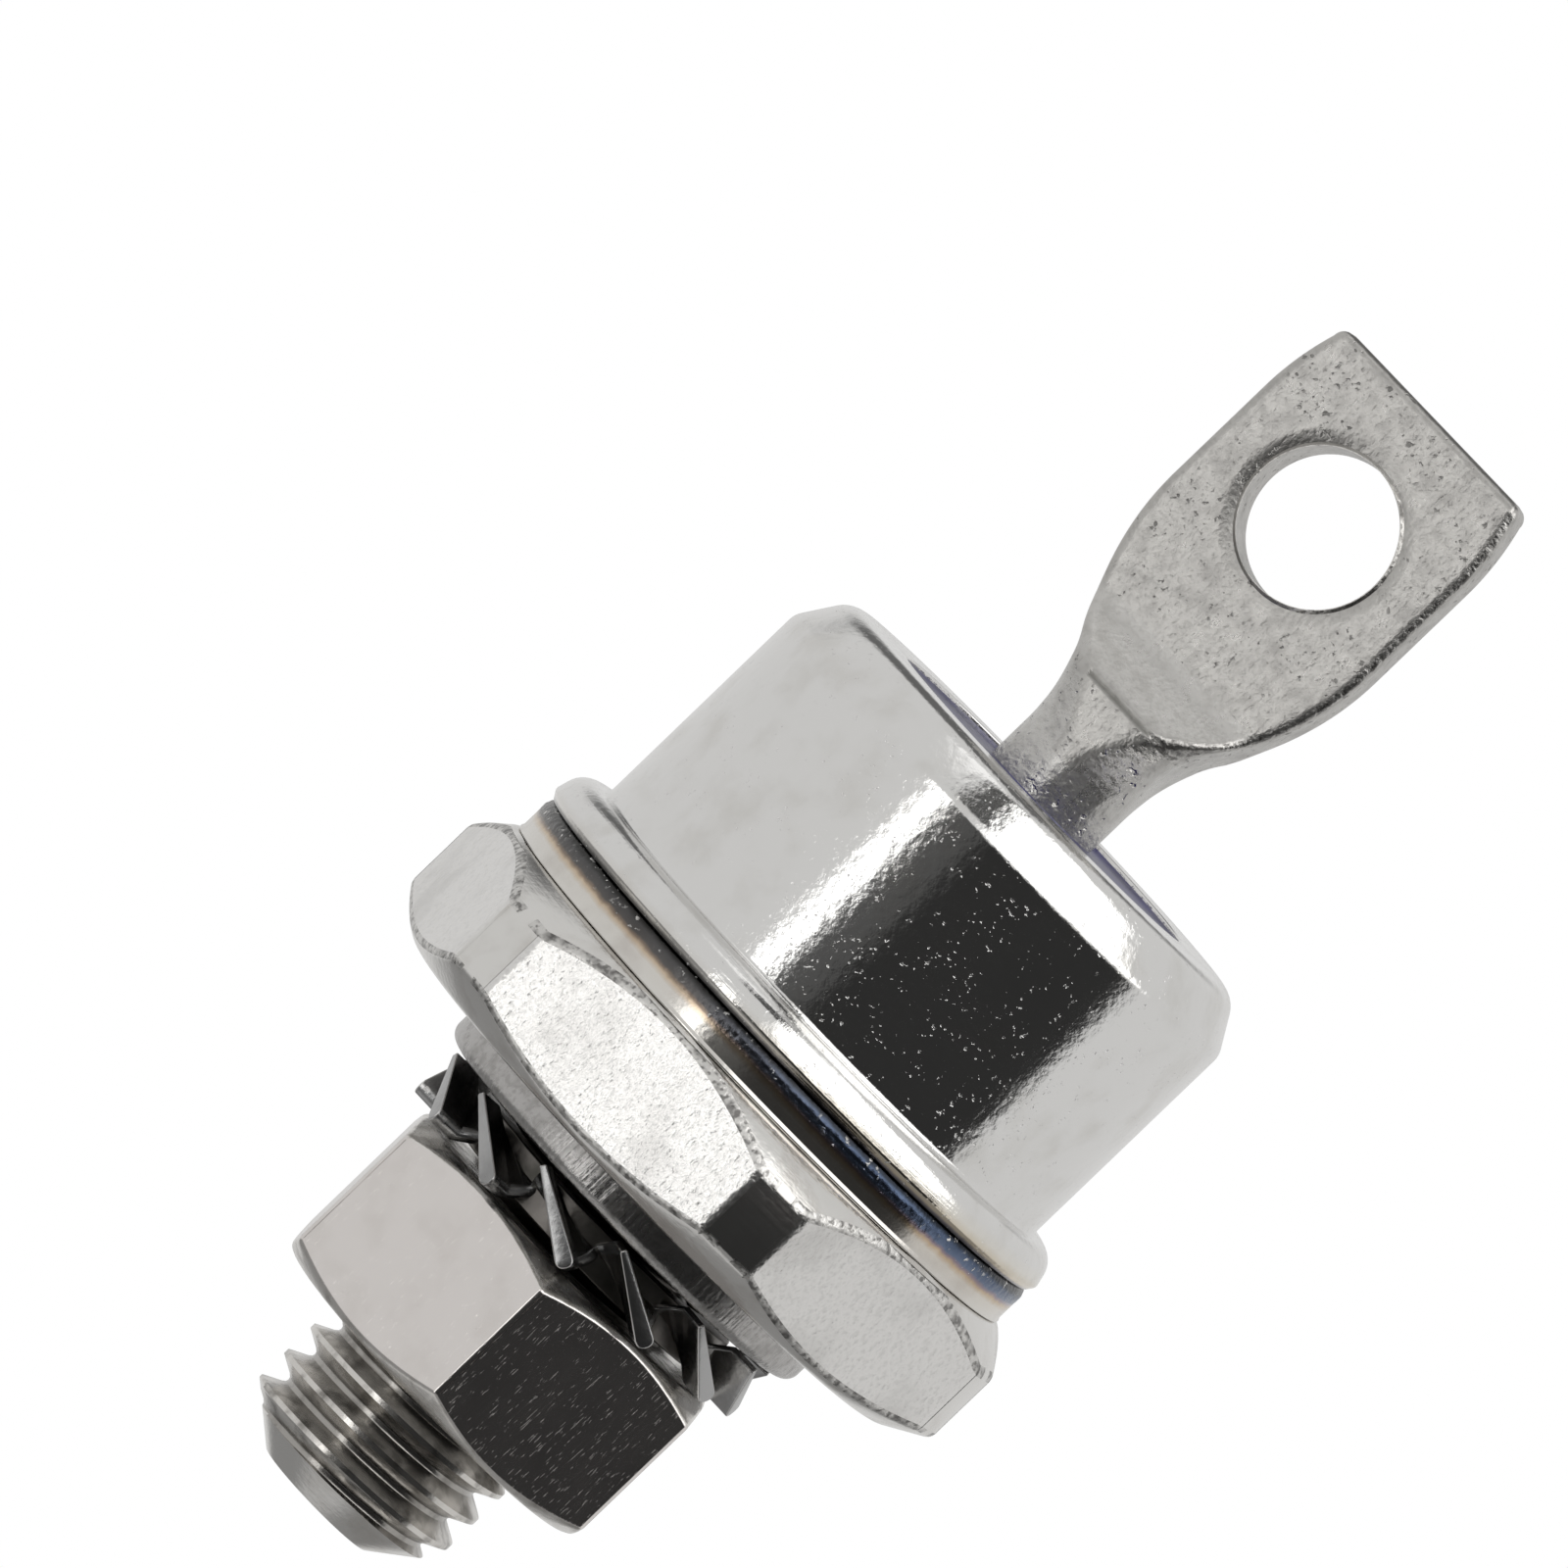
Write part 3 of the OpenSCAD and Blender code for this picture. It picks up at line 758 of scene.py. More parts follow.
@dataclass
class Thread:
    """The unified fine thread of the stud, rolled right-handed."""

    major_r: float = 3.15
    minor_r: float = 2.6
    pitch: float = 0.907
    crest: float = 0.07
    crest_soft: float = 0.04
    crest_share: float = 0.13
    root: tuple[Point, ...] = ((0.1, 0.14), (0.02, 0.07))
    turns: int = 14
    facets: int = 96
    start: float = -1.2035

    def profile(self, ease: float) -> list[Point]:
        """One pitch of the thread, from crest to crest.

        Args:
            ease: Radial growth, for the tool that cuts the nut.

        Returns:
            Radius and height of each point.
        """
        half = self.pitch / 2
        drop = (self.major_r - self.minor_r) * self.crest_share
        side = [(self.major_r, 0.0), (self.major_r, self.crest),
                (self.major_r - drop, self.crest + self.crest_soft),
                *((self.minor_r + rise, half - off) for rise, off in self.root)]
        away = [(r, self.pitch - z) for r, z in reversed(side)]
        return [(r + ease, z) for r, z in [*side, (self.minor_r, half), *away]]

    def rod(self, ease: float = 0.0) -> Object:
        """Threaded rod, longer at both ends than the piece that it makes.

        Args:
            ease: Radial growth.

        Returns:
            The rod as a closed object.
        """
        Bench.draw([(r, z + self.start) for r, z in self.profile(ease)])
        obj = Bench.close(repair=False)
        Bench.modify(obj, "SCREW", axis="Z", angle=2 * math.pi, screw_offset=self.pitch,
                     iterations=self.turns, steps=self.facets, render_steps=self.facets,
                     use_merge_vertices=True, merge_threshold=MERGE)
        Bench.edit()
        bpy.ops.mesh.remove_doubles(threshold=MERGE)
        bpy.ops.mesh.select_all(action="DESELECT")
        bpy.ops.mesh.select_non_manifold()
        bpy.ops.mesh.fill_holes(sides=0)
        return Bench.close()


@dataclass
class Piece:
    """A piece of the diode that stands for one CAD node."""

    node: str
    slot: str
    smooth_angle: float = 32.0
    weighted: bool = False

    def build(self) -> Object:
        """Models the piece in millimetres."""
        raise NotImplementedError

    def finishes(self) -> list[Finish]:
        """The finishes of the piece, main one first."""
        raise NotImplementedError

    def finish_at(self, centre: Vector, normal: Vector) -> int:
        """Index of the finish on a face with this centre and normal."""
        return 0

    def make(self) -> None:
        """Builds and dresses the piece and sets it in the frame."""
        obj = self.build()
        obj.name = obj.data.name = self.node + "_looks"
        for finish in self.finishes():
            obj.data.materials.append(finish.material())
        for face in obj.data.polygons:
            face.material_index = self.finish_at(face.center, face.normal)
        Bench.place(obj, Matrix.Scale(MM, 4))
        Bench.shade(obj, self.smooth_angle, self.weighted)
        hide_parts(self.node)
        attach(obj, "root")
        LOG.info("%s: %d faces", obj.name, len(obj.data.polygons))


@dataclass
class StudBase(Piece):
    """Hexagonal base turned and milled with its threaded stud in one piece."""

    flats: float = 17.3
    first_flat: float = 30.0
    seat_z: float = 11.4
    foot_z: float = 15.2
    seat_r: float = 8.3
    corner_r: float = 9.55
    ring_r: float = 8.53
    spigot_r: float = 6.7
    pedestal_r: float = 5.2
    spigot_z: float = 16.3
    pedestal_z: float = 16.8
    seat_slope: float = 31.0
    top_slope: float = 42.0
    point_r: float = 1.775
    point_slope: float = 1.25
    overlap: float = 0.3
    edge: float = 0.16
    edge_angle: float = 18.0
    thread: Thread = field(default_factory=Thread)
    hidden_z: float = 8.4
    skin: float = 0.01
    point_skin: float = 0.03
    end_on: float = 0.99
    near_side: float = 0.88
    flat_side: float = 0.93
    upright: float = 0.06
    sloping: float = 0.71

    def build(self) -> Object:
        """Models the hexagon with its spigot and joins the threaded stud to it.

        Returns:
            The base.
        """
        low = self.seat_z + (self.corner_r - self.seat_r) * math.tan(math.radians(self.seat_slope))
        high = self.foot_z - (self.corner_r - self.ring_r) * math.tan(math.radians(self.top_slope))
        base = Bench.turn(self.node, [
            (0, self.seat_z, 0), (self.seat_r, self.seat_z, 0), (self.corner_r, low, 0),
            (self.corner_r, high, 0), (self.ring_r, self.foot_z, 0), (self.spigot_r, self.foot_z, 0),
            (self.spigot_r, self.spigot_z, 0), (self.pedestal_r, self.spigot_z, 0),
            (self.pedestal_r, self.pedestal_z, 0), (0, self.pedestal_z, 0)], closed=False)
        Bench.mill(base, self.flats, self.first_flat)
        Bench.soften(base, self.edge, self.edge_angle)
        stud = self.thread.rod()
        reach = self.seat_z + self.overlap
        bpy.ops.mesh.primitive_cone_add(vertices=self.thread.facets, radius1=self.point_r,
                                        radius2=self.point_r + reach * self.point_slope,
                                        depth=reach, location=(0, 0, reach / 2))
        Bench.combine(stud, bpy.context.object, Cut.TRIM)
        Bench.combine(base, stud, Cut.JOIN)
        return base

    def finishes(self) -> list[Finish]:
        """Turned plating, etched flats, thread, its length between nut and washers painted dark as
        shade, and the edges of the flats.
        """
        return [TURNED_BASE, ETCHED_HEX, THREAD, SHADED_THREAD, RAGGED_EDGE]

    def finish_at(self, centre: Vector, normal: Vector) -> int:
        """Tells stud from hexagon, and flats from their edges.

        Args:
            centre: Middle of the face.
            normal: Direction that the face looks in.

        Returns:
            Index of the finish.
        """
        if centre.z < self.seat_z - self.skin:
            point = self.point_r + self.point_slope * centre.z - math.hypot(centre.x, centre.y)
            if normal.z < -self.end_on or abs(point) < self.point_skin:
                return 0
            # faces above hidden_z, between the nut and the washers, take the painted shade
            return 2 if centre.z < self.hidden_z else 3
        facing = math.atan2(normal.y, normal.x)
        side = max(math.cos(facing - math.radians(self.first_flat + 360 / SIDES * k))
                   for k in range(SIDES))
        if side < self.near_side or centre.z > self.foot_z - self.skin:
            return 0
        if abs(normal.z) < self.upright and side > self.flat_side:
            return 1
        return 4 if self.upright < abs(normal.z) < self.sloping else 0


@dataclass
class WeldRing(Piece):
    """Turned ring brazed round the spigot, tinted by the weld above it."""

    bore_r: float = 6.74
    outer_r: float = 8.53
    waist: float = 0.07
    foot_z: float = 15.2
    foot_flare: float = 0.13
    foot_round: float = 0.05
    seam_z: float = 16.3
    seam_edge: float = 0.14
    seam_room: float = 1.4
    seam_knee: Point = (0.4, 0.6)
    groove: float = 0.002
    groove_step: float = 0.045
    bead_z: float = 15.84
    bead_step: float = 0.05
    bead: float = 0.014
    bead_rise: float = 0.12
    bead_top: float = 0.6
    bead_scale: float = 9.0
    fine_scale: float = 15.0
    fine_share: float = 0.5
    facets: int = 900

    def build(self) -> Object:
        """Turns the ring with the fine grooves of the tool and roughens it where the weld ran.

        Returns:
            The ring.
        """
        waist_r = self.outer_r - self.waist
        marks, z, dip = [], self.foot_z + self.foot_flare, 0.0
        while z < self.bead_z:
            marks.append((waist_r - dip, z, 0.0))
            dip = self.groove - dip
            z += self.groove_step
        while z < self.seam_z - self.seam_room * self.seam_edge:
            marks.append((waist_r, z, 0.0))
            z += self.bead_step
        inward, below = (share * self.seam_edge for share in self.seam_knee)
        ring = Bench.turn(self.node, [
            (self.bore_r, self.foot_z, 0), (self.outer_r, self.foot_z, self.foot_round), *marks,
            (waist_r - inward, self.seam_z - below, 0), (waist_r - self.seam_edge, self.seam_z, 0),
            (self.bore_r, self.seam_z, 0)], steps=self.facets)
        for vertex in ring.data.vertices:
            across = Vector((vertex.co.x, vertex.co.y, 0))
            if vertex.co.z > self.bead_z and across.length > waist_r - 2 * self.seam_edge:
                share = smooth(self.bead_z, self.bead_z + self.bead_rise, vertex.co.z)
                rough = noise.noise(vertex.co * self.bead_scale)
                rough += self.fine_share * noise.noise(vertex.co * self.fine_scale)
                vertex.co += across.normalized() * self.bead * share * min(self.bead_top, rough)
        return ring

    def finishes(self) -> list[Finish]:
        """Turned steel with heat colours and the rough bead of the weld."""
        return [TINTED_RING, WELD_BEAD]

    def finish_at(self, centre: Vector, normal: Vector) -> int:
        """Index of the finish on a face with this centre and normal."""
        return 1 if centre.z > self.bead_z else 0


@dataclass
class Can(Piece):
    """Drawn can with its welded flange, sloping shoulder, flat rim and glass collar."""

    seam_z: float = 16.3
    seam_edge: float = 0.14
    seam_rise: float = 1.5
    seam_round: float = 0.03
    flange_r: float = 8.55
    flange_h: float = 1.0
    flange_edge: float = 0.12
    flange_round: float = 0.66
    flange_lean: float = 0.2
    root_rise: float = 0.06
    root_round: float = 0.18
    wall_r: float = 7.56
    wall: float = 0.8
    shoulder_h: float = 1.45
    shoulder_lean: float = 32.0
    shoulder_r: float = 0.6
    rim_round: float = 0.8
    rim_z: float = 25.0
    top_wall: float = 1.0
    top_bevel: float = 0.5
    glass_r: float = 4.85
    glass_round: float = 0.06
    glass_foot_z: float = 22.9
    collar: float = 0.7

    def build(self) -> Object:
        """Turns the can.

        Returns:
            The can.
        """
        inner = self.wall_r - self.wall
        lip = self.seam_z + self.flange_h
        lean = math.radians(self.shoulder_lean)
        bend_z = self.rim_z - self.shoulder_h + self.shoulder_r * math.tan(lean / 2)
        edge_r = self.wall_r - (self.rim_z - bend_z) * math.tan(lean)
        top = self.rim_z - self.top_wall
        return Bench.turn(self.node, [
            (inner, self.seam_z, 0), (self.flange_r - self.seam_edge, self.seam_z, self.seam_round),
            (self.flange_r, self.seam_z + self.seam_rise * self.seam_edge, self.flange_edge),
            (self.flange_r - self.flange_lean, lip, self.flange_round),
            (self.wall_r, lip + self.root_rise, self.root_round),
            (self.wall_r, bend_z, self.shoulder_r), (edge_r, self.rim_z, self.rim_round),
            (self.glass_r, self.rim_z, self.glass_round), (self.glass_r, self.glass_foot_z, 0),
            (self.glass_r + self.collar, self.glass_foot_z, 0), (self.glass_r + self.collar, top, 0),
            (inner - self.top_bevel, top, 0), (inner, top - self.top_bevel, 0)])

    def finishes(self) -> list[Finish]:
        """Bright plating, with press lines on the flange."""
        return [CAN_PLATING, PRESSED_FLANGE]

    def finish_at(self, centre: Vector, normal: Vector) -> int:
        """Index of the finish on a face with this centre and normal."""
        return 1 if centre.z < self.seam_z + self.flange_h + self.root_rise else 0


@dataclass
class GlassSeal(Piece):
    """Glass fused between the collar of the can and the stem, hollowed between them."""

    outer_r: float = 4.85
    stem_r: float = 1.735
    top_z: float = 24.9
    foot_z: float = 22.9
    dip: float = 0.08
    dip_power: int = 6
    rings: int = 24

    def build(self) -> Object:
        """Turns the glass with its hollow upper surface.

        Returns:
            The glass.
        """
        top = []
        for k in range(self.rings + 1):
            share = 2 * k / self.rings - 1
            r = (self.outer_r + self.stem_r) / 2 - share * (self.outer_r - self.stem_r) / 2
            top.append((r, self.top_z - self.dip * (1 - share ** self.dip_power), 0.0))
        return Bench.turn(self.node, [(self.stem_r, self.foot_z, 0), (self.outer_r, self.foot_z, 0),
                                      *top])

    def finishes(self) -> list[Finish]:
        """Dark fused glass."""
        return [SEAL_GLASS]


@dataclass
class Terminal(Piece):
    """Round stem forged flat between two dies into a lug with an eye."""

    stem_r: float = 1.735
    foot_z: float = 22.4
    press_z: float = 26.07
    flare_z: float = 26.8
    flare_r: float = 3.6
    flare_turn: float = 34.0
    half_width: float = 3.6
    top_half: float = 3.3
    crown_z: float = 36.0
    top_z: float = 38.44
    tip: float = 0.35
    crease_z: float = 28.05
    crease_zone: float = 0.25
    crease_ease: float = 0.05
    ramp: float = 1.5
    ramp_zone: float = 0.3
    ramp_ease: float = 0.3
    nick: float = 0.05
    nick_half: float = 0.09
    half_thick: float = 0.625
    press_corner: float = 1.0
    lug_corner: float = 0.3
    edge: float = 0.28
    edge_share: float = 0.45
    eye_z: float = 34.52
    eye_r: float = 2.05
    eye_foot_z: float = 33.1
    eye_soft: float = 0.1
    eye_lip: float = 0.03
    eye_room: float = 0.4
    eye_reach: float = 2.0
    eye_steps: int = 6
    socket_r: float = 0.84
    socket: float = 1.6
    socket_facets: int = 48
    quarter: int = 48
    arc_steps: int = 24
    edge_steps: int = 6
    # half width and half height of the painted shadow line across the crease
    crease_shadow: float = 1.1
    crease_shadow_half: float = 0.13
    # how far the ramp finish, with its painted light, reaches past the ramp
    ramp_over: float = 0.25
    press_face: float = 0.97
    ramp_face: float = 0.5
    edge_face: float = 0.3
    edge_from: Point = (0.1, 0.3)
    edge_to: float = 0.9

    def width_at(self, z: float) -> float:
        """Half width of the terminal.

        Args:
            z: Height.

        Returns:
            The half width: stem, flare, shoulder, parallel sides and the rounded top.
        """
        turn = math.radians(self.flare_turn)
        meet_z = self.flare_z + self.flare_r * math.sin(turn)
        meet = self.stem_r + self.flare_r * (1 - math.cos(turn))
        side_r = (self.half_width - meet) / (1 - math.cos(turn))
        side_z = meet_z + side_r * math.sin(turn)
        if z <= self.flare_z:
            return self.stem_r
        if z <= meet_z:
            return self.stem_r + self.flare_r - math.sqrt(self.flare_r ** 2 - (z - self.flare_z) ** 2)
        if z <= side_z:
            return self.half_width - side_r + math.sqrt(side_r ** 2 - (side_z - z) ** 2)
        if z <= self.crown_z:
            return self.half_width
        share = min(1.0, (z - self.crown_z) / (self.top_z - self.tip - self.crown_z))
        width = self.half_width - (self.half_width - self.top_half) * share ** 2
        over = max(0.0, z - (self.top_z - self.tip))
        return width - self.tip + math.sqrt(max(0.0, self.tip ** 2 - over ** 2))

    def thickness_at(self, z: float) -> float:
        """Half thickness left between the dies.

        Args:
            z: Height.

        Returns:
            The half thickness, with the nick of the crease and the rounded top edge.
        """
        slope = (self.stem_r - self.half_thick) / self.ramp
        ramp = self.stem_r - slope * (z - self.crease_z)
        flat = 0.5 * (ramp + self.half_thick + math.hypot(ramp - self.half_thick, self.ramp_ease))
        eased = 0.5 * (flat + self.stem_r - math.hypot(flat - self.stem_r, self.crease_ease))
        eased -= self.nick * math.exp(-((z - self.crease_z) / self.nick_half) ** 2)
        over = max(0.0, z - (self.top_z - self.edge))
        return eased - self.edge + math.sqrt(max(0.0, self.edge ** 2 - over ** 2))

    def outline(self, z: float, pressed: float) -> list[Point]:
        """Quarter outline of the cross-section, with the edge of its flat still sharp.

        Args:
            z: Height.
            pressed: How far the rod is pressed flat there, from 0 to 1.

        Returns:
            The points from the side by way of that edge to the middle of the flat.
        """
        width, thick = self.width_at(z), min(self.thickness_at(z), self.stem_r)
        corner = self.stem_r - (self.stem_r - self.press_corner) * pressed
        corner -= (corner - self.lug_corner) * smooth(self.crease_z, self.crease_z + 2 * self.ramp, z)
        rise = self.stem_r - corner
        line: list[Point] = [(width, 0.0)]
        if thick > rise:
            stop = math.asin(min(1.0, (thick - rise) / corner))
            line += [(width - corner + corner * math.cos(stop * k / self.arc_steps),
                      rise + corner * math.sin(stop * k / self.arc_steps))
                     for k in range(self.arc_steps + 1)]
        else:
            line.append((width, thick))
        return [*line, (0.0, thick)]

    def section(self, z: float) -> list[Point]:
        """Quarter of the cross-section, with the edge of its flat rounded.

        Args:
            z: Height.

        Returns:
            The points from the side to the middle of the flat, always the same number of them.
        """
        pressed = smooth(self.press_z, self.crease_z, z)
        line = Line(self.outline(z, pressed))
        sharp, bend, whole = line.points[-2], line.lengths[-2], line.lengths[-1]
        edge = min(self.edge, self.edge_share * bend, self.edge_share * (whole - bend)) * pressed
        side_steps = self.quarter // 3
        edge_end = side_steps + self.edge_steps
        points = []
        for k in range(self.quarter + 1):
            if k <= side_steps:
                fixed = (bend - edge) * k / side_steps
            elif k <= edge_end:
                fixed = bend - edge + 2 * edge * (k - side_steps) / self.edge_steps
            else:
                fixed = bend + edge + (whole - bend - edge) * (k - edge_end) / (self.quarter - edge_end)
            place = whole * k / self.quarter * (1 - pressed) + fixed * pressed
            if edge > TINY and abs(place - bend) < edge:
                t = (place - bend + edge) / (2 * edge)
                start, end = line.at(bend - edge), line.at(bend + edge)
                points.append(tuple((1 - t) ** 2 * a + 2 * t * (1 - t) * b + t * t * c
                                    for a, b, c in zip(start, sharp, end)))
            else:
                points.append(line.at(place))
        return points

    def levels(self) -> list[float]:
        """Heights of the rings along the terminal, closer where it changes.

        Returns:
            The heights from the foot to the top.
        """
        ramp_z = self.crease_z + self.ramp
        stops = [(self.foot_z, 8), (self.press_z, 18), (self.crease_z - self.crease_zone, 12),
                 (self.crease_z + self.crease_zone, 14), (ramp_z - self.ramp_zone, 14),
                 (ramp_z + self.ramp_zone, 26), (self.eye_foot_z, 12), (self.crown_z, 12),
                 (self.top_z - self.tip, 8), (self.top_z - self.edge, 6), (self.top_z, 1)]
        heights = [low + (high - low) * k / count
                   for (low, count), (high, _) in zip(stops, stops[1:]) for k in range(count)]
        return [*heights, self.top_z]

    def eye_tool(self) -> Object:
        """Punch for the eye, which rounds its edges as it goes through.

        Returns:
            The tool, lying along Y.
        """
        face, soft, reach = self.half_thick + self.eye_lip, self.eye_soft, self.eye_reach
        wide = self.eye_r + soft + self.eye_room
        turn = math.pi / 2 / self.eye_steps
        arc = [(self.eye_r + soft * (1 - math.cos(turn * k)),
                face - soft * (1 - math.sin(turn * (self.eye_steps - k))), 0.0)
               for k in range(self.eye_steps + 1)]
        back = [(r, -y, 0.0) for r, y, _ in reversed(arc)]
        tool = Bench.turn("eye_tool", [
            (0, -reach, 0), (wide, -reach, 0), (wide, -face, 0), *back, *arc,
            (wide, face, 0), (wide, reach, 0), (0, reach, 0)], closed=False)
        Bench.place(tool, Matrix.Translation((0, 0, self.eye_z)) @ Matrix.Rotation(math.pi / 2, 4, "X"))
        return tool

    def build(self) -> Object:
        """Draws the round rod up ring by ring, forges it flat and punches the eye.

        Returns:
            The terminal.
        """
        levels = self.levels()
        count = 4 * self.quarter
        bpy.ops.mesh.primitive_circle_add(vertices=count, radius=self.stem_r, fill_type="NGON",
                                          location=(0, 0, levels[0]))
        bpy.ops.object.transform_apply(location=True)
        Bench.edit()
        for low, high in zip(levels, levels[1:]):
            bpy.ops.mesh.extrude_region_move(TRANSFORM_OT_translate={"value": (0, 0, high - low)})
        obj = Bench.close(repair=False)
        shapes = {}
        for vertex in obj.data.vertices:
            level = min(levels, key=lambda z: abs(z - vertex.co.z))
            if level not in shapes:
                shapes[level] = self.section(level)
            step = round((math.atan2(vertex.co.y, vertex.co.x) % (2 * math.pi)) / (2 * math.pi) * count)
            part, index = divmod(step % count, self.quarter)
            x, y = shapes[level][index if part % 2 == 0 else self.quarter - index]
            vertex.co.x = x if part in (0, 3) else -x
            vertex.co.y = y if part < 2 else -y
        Bench.pick(obj)
        Bench.edit()
        Bench.close()
        Bench.combine(obj, self.eye_tool(), Cut.BORE)
        bpy.ops.mesh.primitive_cylinder_add(vertices=self.socket_facets, radius=self.socket_r,
                                            depth=2 * self.socket, location=(0, 0, self.foot_z))
        Bench.combine(obj, bpy.context.object, Cut.BORE)
        return obj

    def finishes(self) -> list[Finish]:
        """Dull tin plating, rougher on the drawn stem with painted shade on its +X side, on the ramp
        with a painted shadow at the crease and painted light above it, and on the sheared edges.
        """
        return [DULL_TIN, DRAWN_STEM, PRESSED_RAMP, SHEARED_EDGE]

    def finish_at(self, centre: Vector, normal: Vector) -> int:
        """Tells the stem from the ramp with its painted crease shadow, the edges and the flats.

        Args:
            centre: Middle of the face.
            normal: Direction that the face looks in.

        Returns:
            Index of the finish.
        """
        if centre.z < self.crease_z - self.crease_shadow_half:
            # the rest of the stem takes the finish with painted shade on its +X side
            return 0 if centre.z > self.press_z and abs(normal.y) > self.press_face else 1
        ramp = centre.z < self.crease_z + self.ramp + self.ramp_over
        edge_from = self.edge_from[0 if ramp else 1]
        if edge_from < normal.x < self.edge_to and abs(normal.y) > self.edge_face:
            return 3
        # faces above the crease line, or near the middle, take the ramp finish with its painted shadow
        # and painted light
        crease_shadow = centre.z > self.crease_z + self.crease_shadow_half or abs(centre.x) < self.crease_shadow
        return 2 if ramp and crease_shadow and abs(normal.y) > self.ramp_face else 0


@dataclass
class FlatWasher(Piece):
    """Stamped flat washer with its rounded edge down."""

    bore_r: float = 3.3
    bore_round: float = 0.08
    outer_r: float = 6.03
    foot_z: float = 10.4
    foot_round: float = 0.35
    top_z: float = 11.4
    top_round: float = 0.12

    def build(self) -> Object:
        """Turns the washer.

        Returns:
            The washer.
        """
        return Bench.turn(self.node, [
            (self.bore_r, self.foot_z, self.bore_round), (self.outer_r, self.foot_z, self.foot_round),
            (self.outer_r, self.top_z, self.top_round), (self.bore_r, self.top_z, self.bore_round)])

    def finishes(self) -> list[Finish]:
        """Plated steel with shear streaks."""
        return [SHEARED_STEEL]


@dataclass
class LockWasher(Piece):
    """Lock washer with twelve teeth twisted out of the plane of its ring."""

    bore_r: float = 3.3
    ring_r: float = 4.3
    ring_thick: float = 1.1
    ring_round: float = 0.06
    mid_z: float = 9.53925
    count: int = 12
    first: float = 4.5
    tip_r: float = 5.5
    tip_width: float = 2.6
    thick: float = 0.42
    root_in: float = 0.35
    root_share: float = 0.95
    stub: float = 0.1
    twist: float = 30.5
    twist_share: float = 0.5
    steps: int = 10
    low_side: float = 1.2
    high_side: float = 0.45
    round_end: float = 0.22
    round_facets: int = 5
    soft: float = 0.045
    soft_angle: float = 40.0
    # room round the ring of the lock washer that takes the painted shade
    shade_room: float = 0.02
    tip_zone: float = 3.0
    tip_facing: Point = (0.2, 0.95)

    def tooth(self) -> Object:
        """One tooth along X: a wedge-shaped bar drawn out, widened and twisted step by step.

        Returns:
            The tooth, in the plane of the origin.
        """
        root_r = self.ring_r - self.root_in
        step = (self.tip_r - root_r) / self.steps
        width = self.tip_width * self.root_share
        bpy.ops.mesh.primitive_cube_add(size=1, location=(root_r - self.stub / 2, 0, 0),
                                        scale=(self.stub, width, self.thick))
        bpy.ops.object.transform_apply(location=True, scale=True)
        bar = bpy.context.object
        for vertex in bar.data.vertices:
            vertex.co.z *= self.low_side if vertex.co.y > 0 else self.high_side
        Bench.choose(bar, "EDGE", lambda edge: self.on_low_side(bar, edge))
        bpy.ops.mesh.bevel(offset=self.round_end, segments=self.round_facets)
        Bench.close(repair=False)
        Bench.choose(bar, "FACE", lambda face: face.normal.x > 0.9)
        last_width, last_turn = width, 0.0
        for k in range(1, self.steps + 1):
            share = min(1.0, k / self.steps / self.twist_share)
            width = self.tip_width * (self.root_share + (1 - self.root_share) * share)
            turn = self.twist * share
            bpy.ops.mesh.extrude_region_move(TRANSFORM_OT_translate={"value": (step, 0, 0)})
            spot = (root_r + step * k, 0, 0)
            if share < 1 or last_turn < turn:
                self.lean(-last_turn, spot)
                bpy.ops.transform.resize(value=(1, width / last_width, 1), center_override=spot)
                self.lean(turn, spot)
            last_width, last_turn = width, turn
        Bench.close()
        Bench.soften(bar, self.soft, self.soft_angle)
        return bar

    def on_low_side(self, bar: Object, edge: bpy.types.MeshEdge) -> bool:
        """Whether an edge of the bar runs along X on the side of the tooth that ends low."""
        one, two = (bar.data.vertices[k].co for k in edge.vertices)
        return one.y > 0 and two.y > 0 and abs(one.x - two.x) > self.stub / 2

    @staticmethod
    def lean(degrees: float, spot: Spot) -> None:
        """Turns the selected faces about the X direction through a spot, clockwise seen from the tip."""
        bpy.ops.transform.rotate(value=math.radians(degrees), orient_axis="X", center_override=spot)

    def build(self) -> Object:
        """Turns the ring, joins the teeth to it and lifts it to its height.

        Returns:
            The lock washer.
        """
        half = self.ring_thick / 2
        sides = ((self.bore_r, -half), (self.ring_r, -half), (self.ring_r, half), (self.bore_r, half))
        ring = Bench.turn(self.node, [(r, z, self.ring_round) for r, z in sides])
        model = self.tooth()
        for k in range(self.count):
            copy = model.copy()
            copy.data = model.data.copy()
            bpy.context.collection.objects.link(copy)
            angle = math.radians(self.first + 360 * k / self.count)
            Bench.place(copy, Matrix.Rotation(angle, 4, "Z"))
            Bench.combine(ring, copy, Cut.JOIN)
        bpy.data.objects.remove(model)
        Bench.place(ring, Matrix.Translation((0, 0, self.mid_z)))
        return ring

    def finishes(self) -> list[Finish]:
        """Plated spring steel darkened as painted shade, a painted highlight on the tips of the teeth,
        and painted shade on the ring.
        """
        return [SHADED_SPRING, LIT_TOOTH_TIP, SHADED_THREAD]

    def finish_at(self, centre: Vector, normal: Vector) -> int:
        """Tells the ring from the teeth, and their tips from their sides.

        Args:
            centre: Middle of the face.
            normal: Direction that the face looks in.

        Returns:
            Index of the finish.
        """
        across = Vector((centre.x, centre.y, 0))
        # the ring between the nut and the flat washer takes the painted shade
        if across.length < self.ring_r + self.shade_room:
            return 2
        outward = normal.dot(across.normalized())
        at_tip = across.length > self.tip_r - self.tip_zone * self.soft
        # the outward faces at the tips of the teeth take the painted highlight
        return 1 if at_tip and self.tip_facing[0] < outward < self.tip_facing[1] else 0


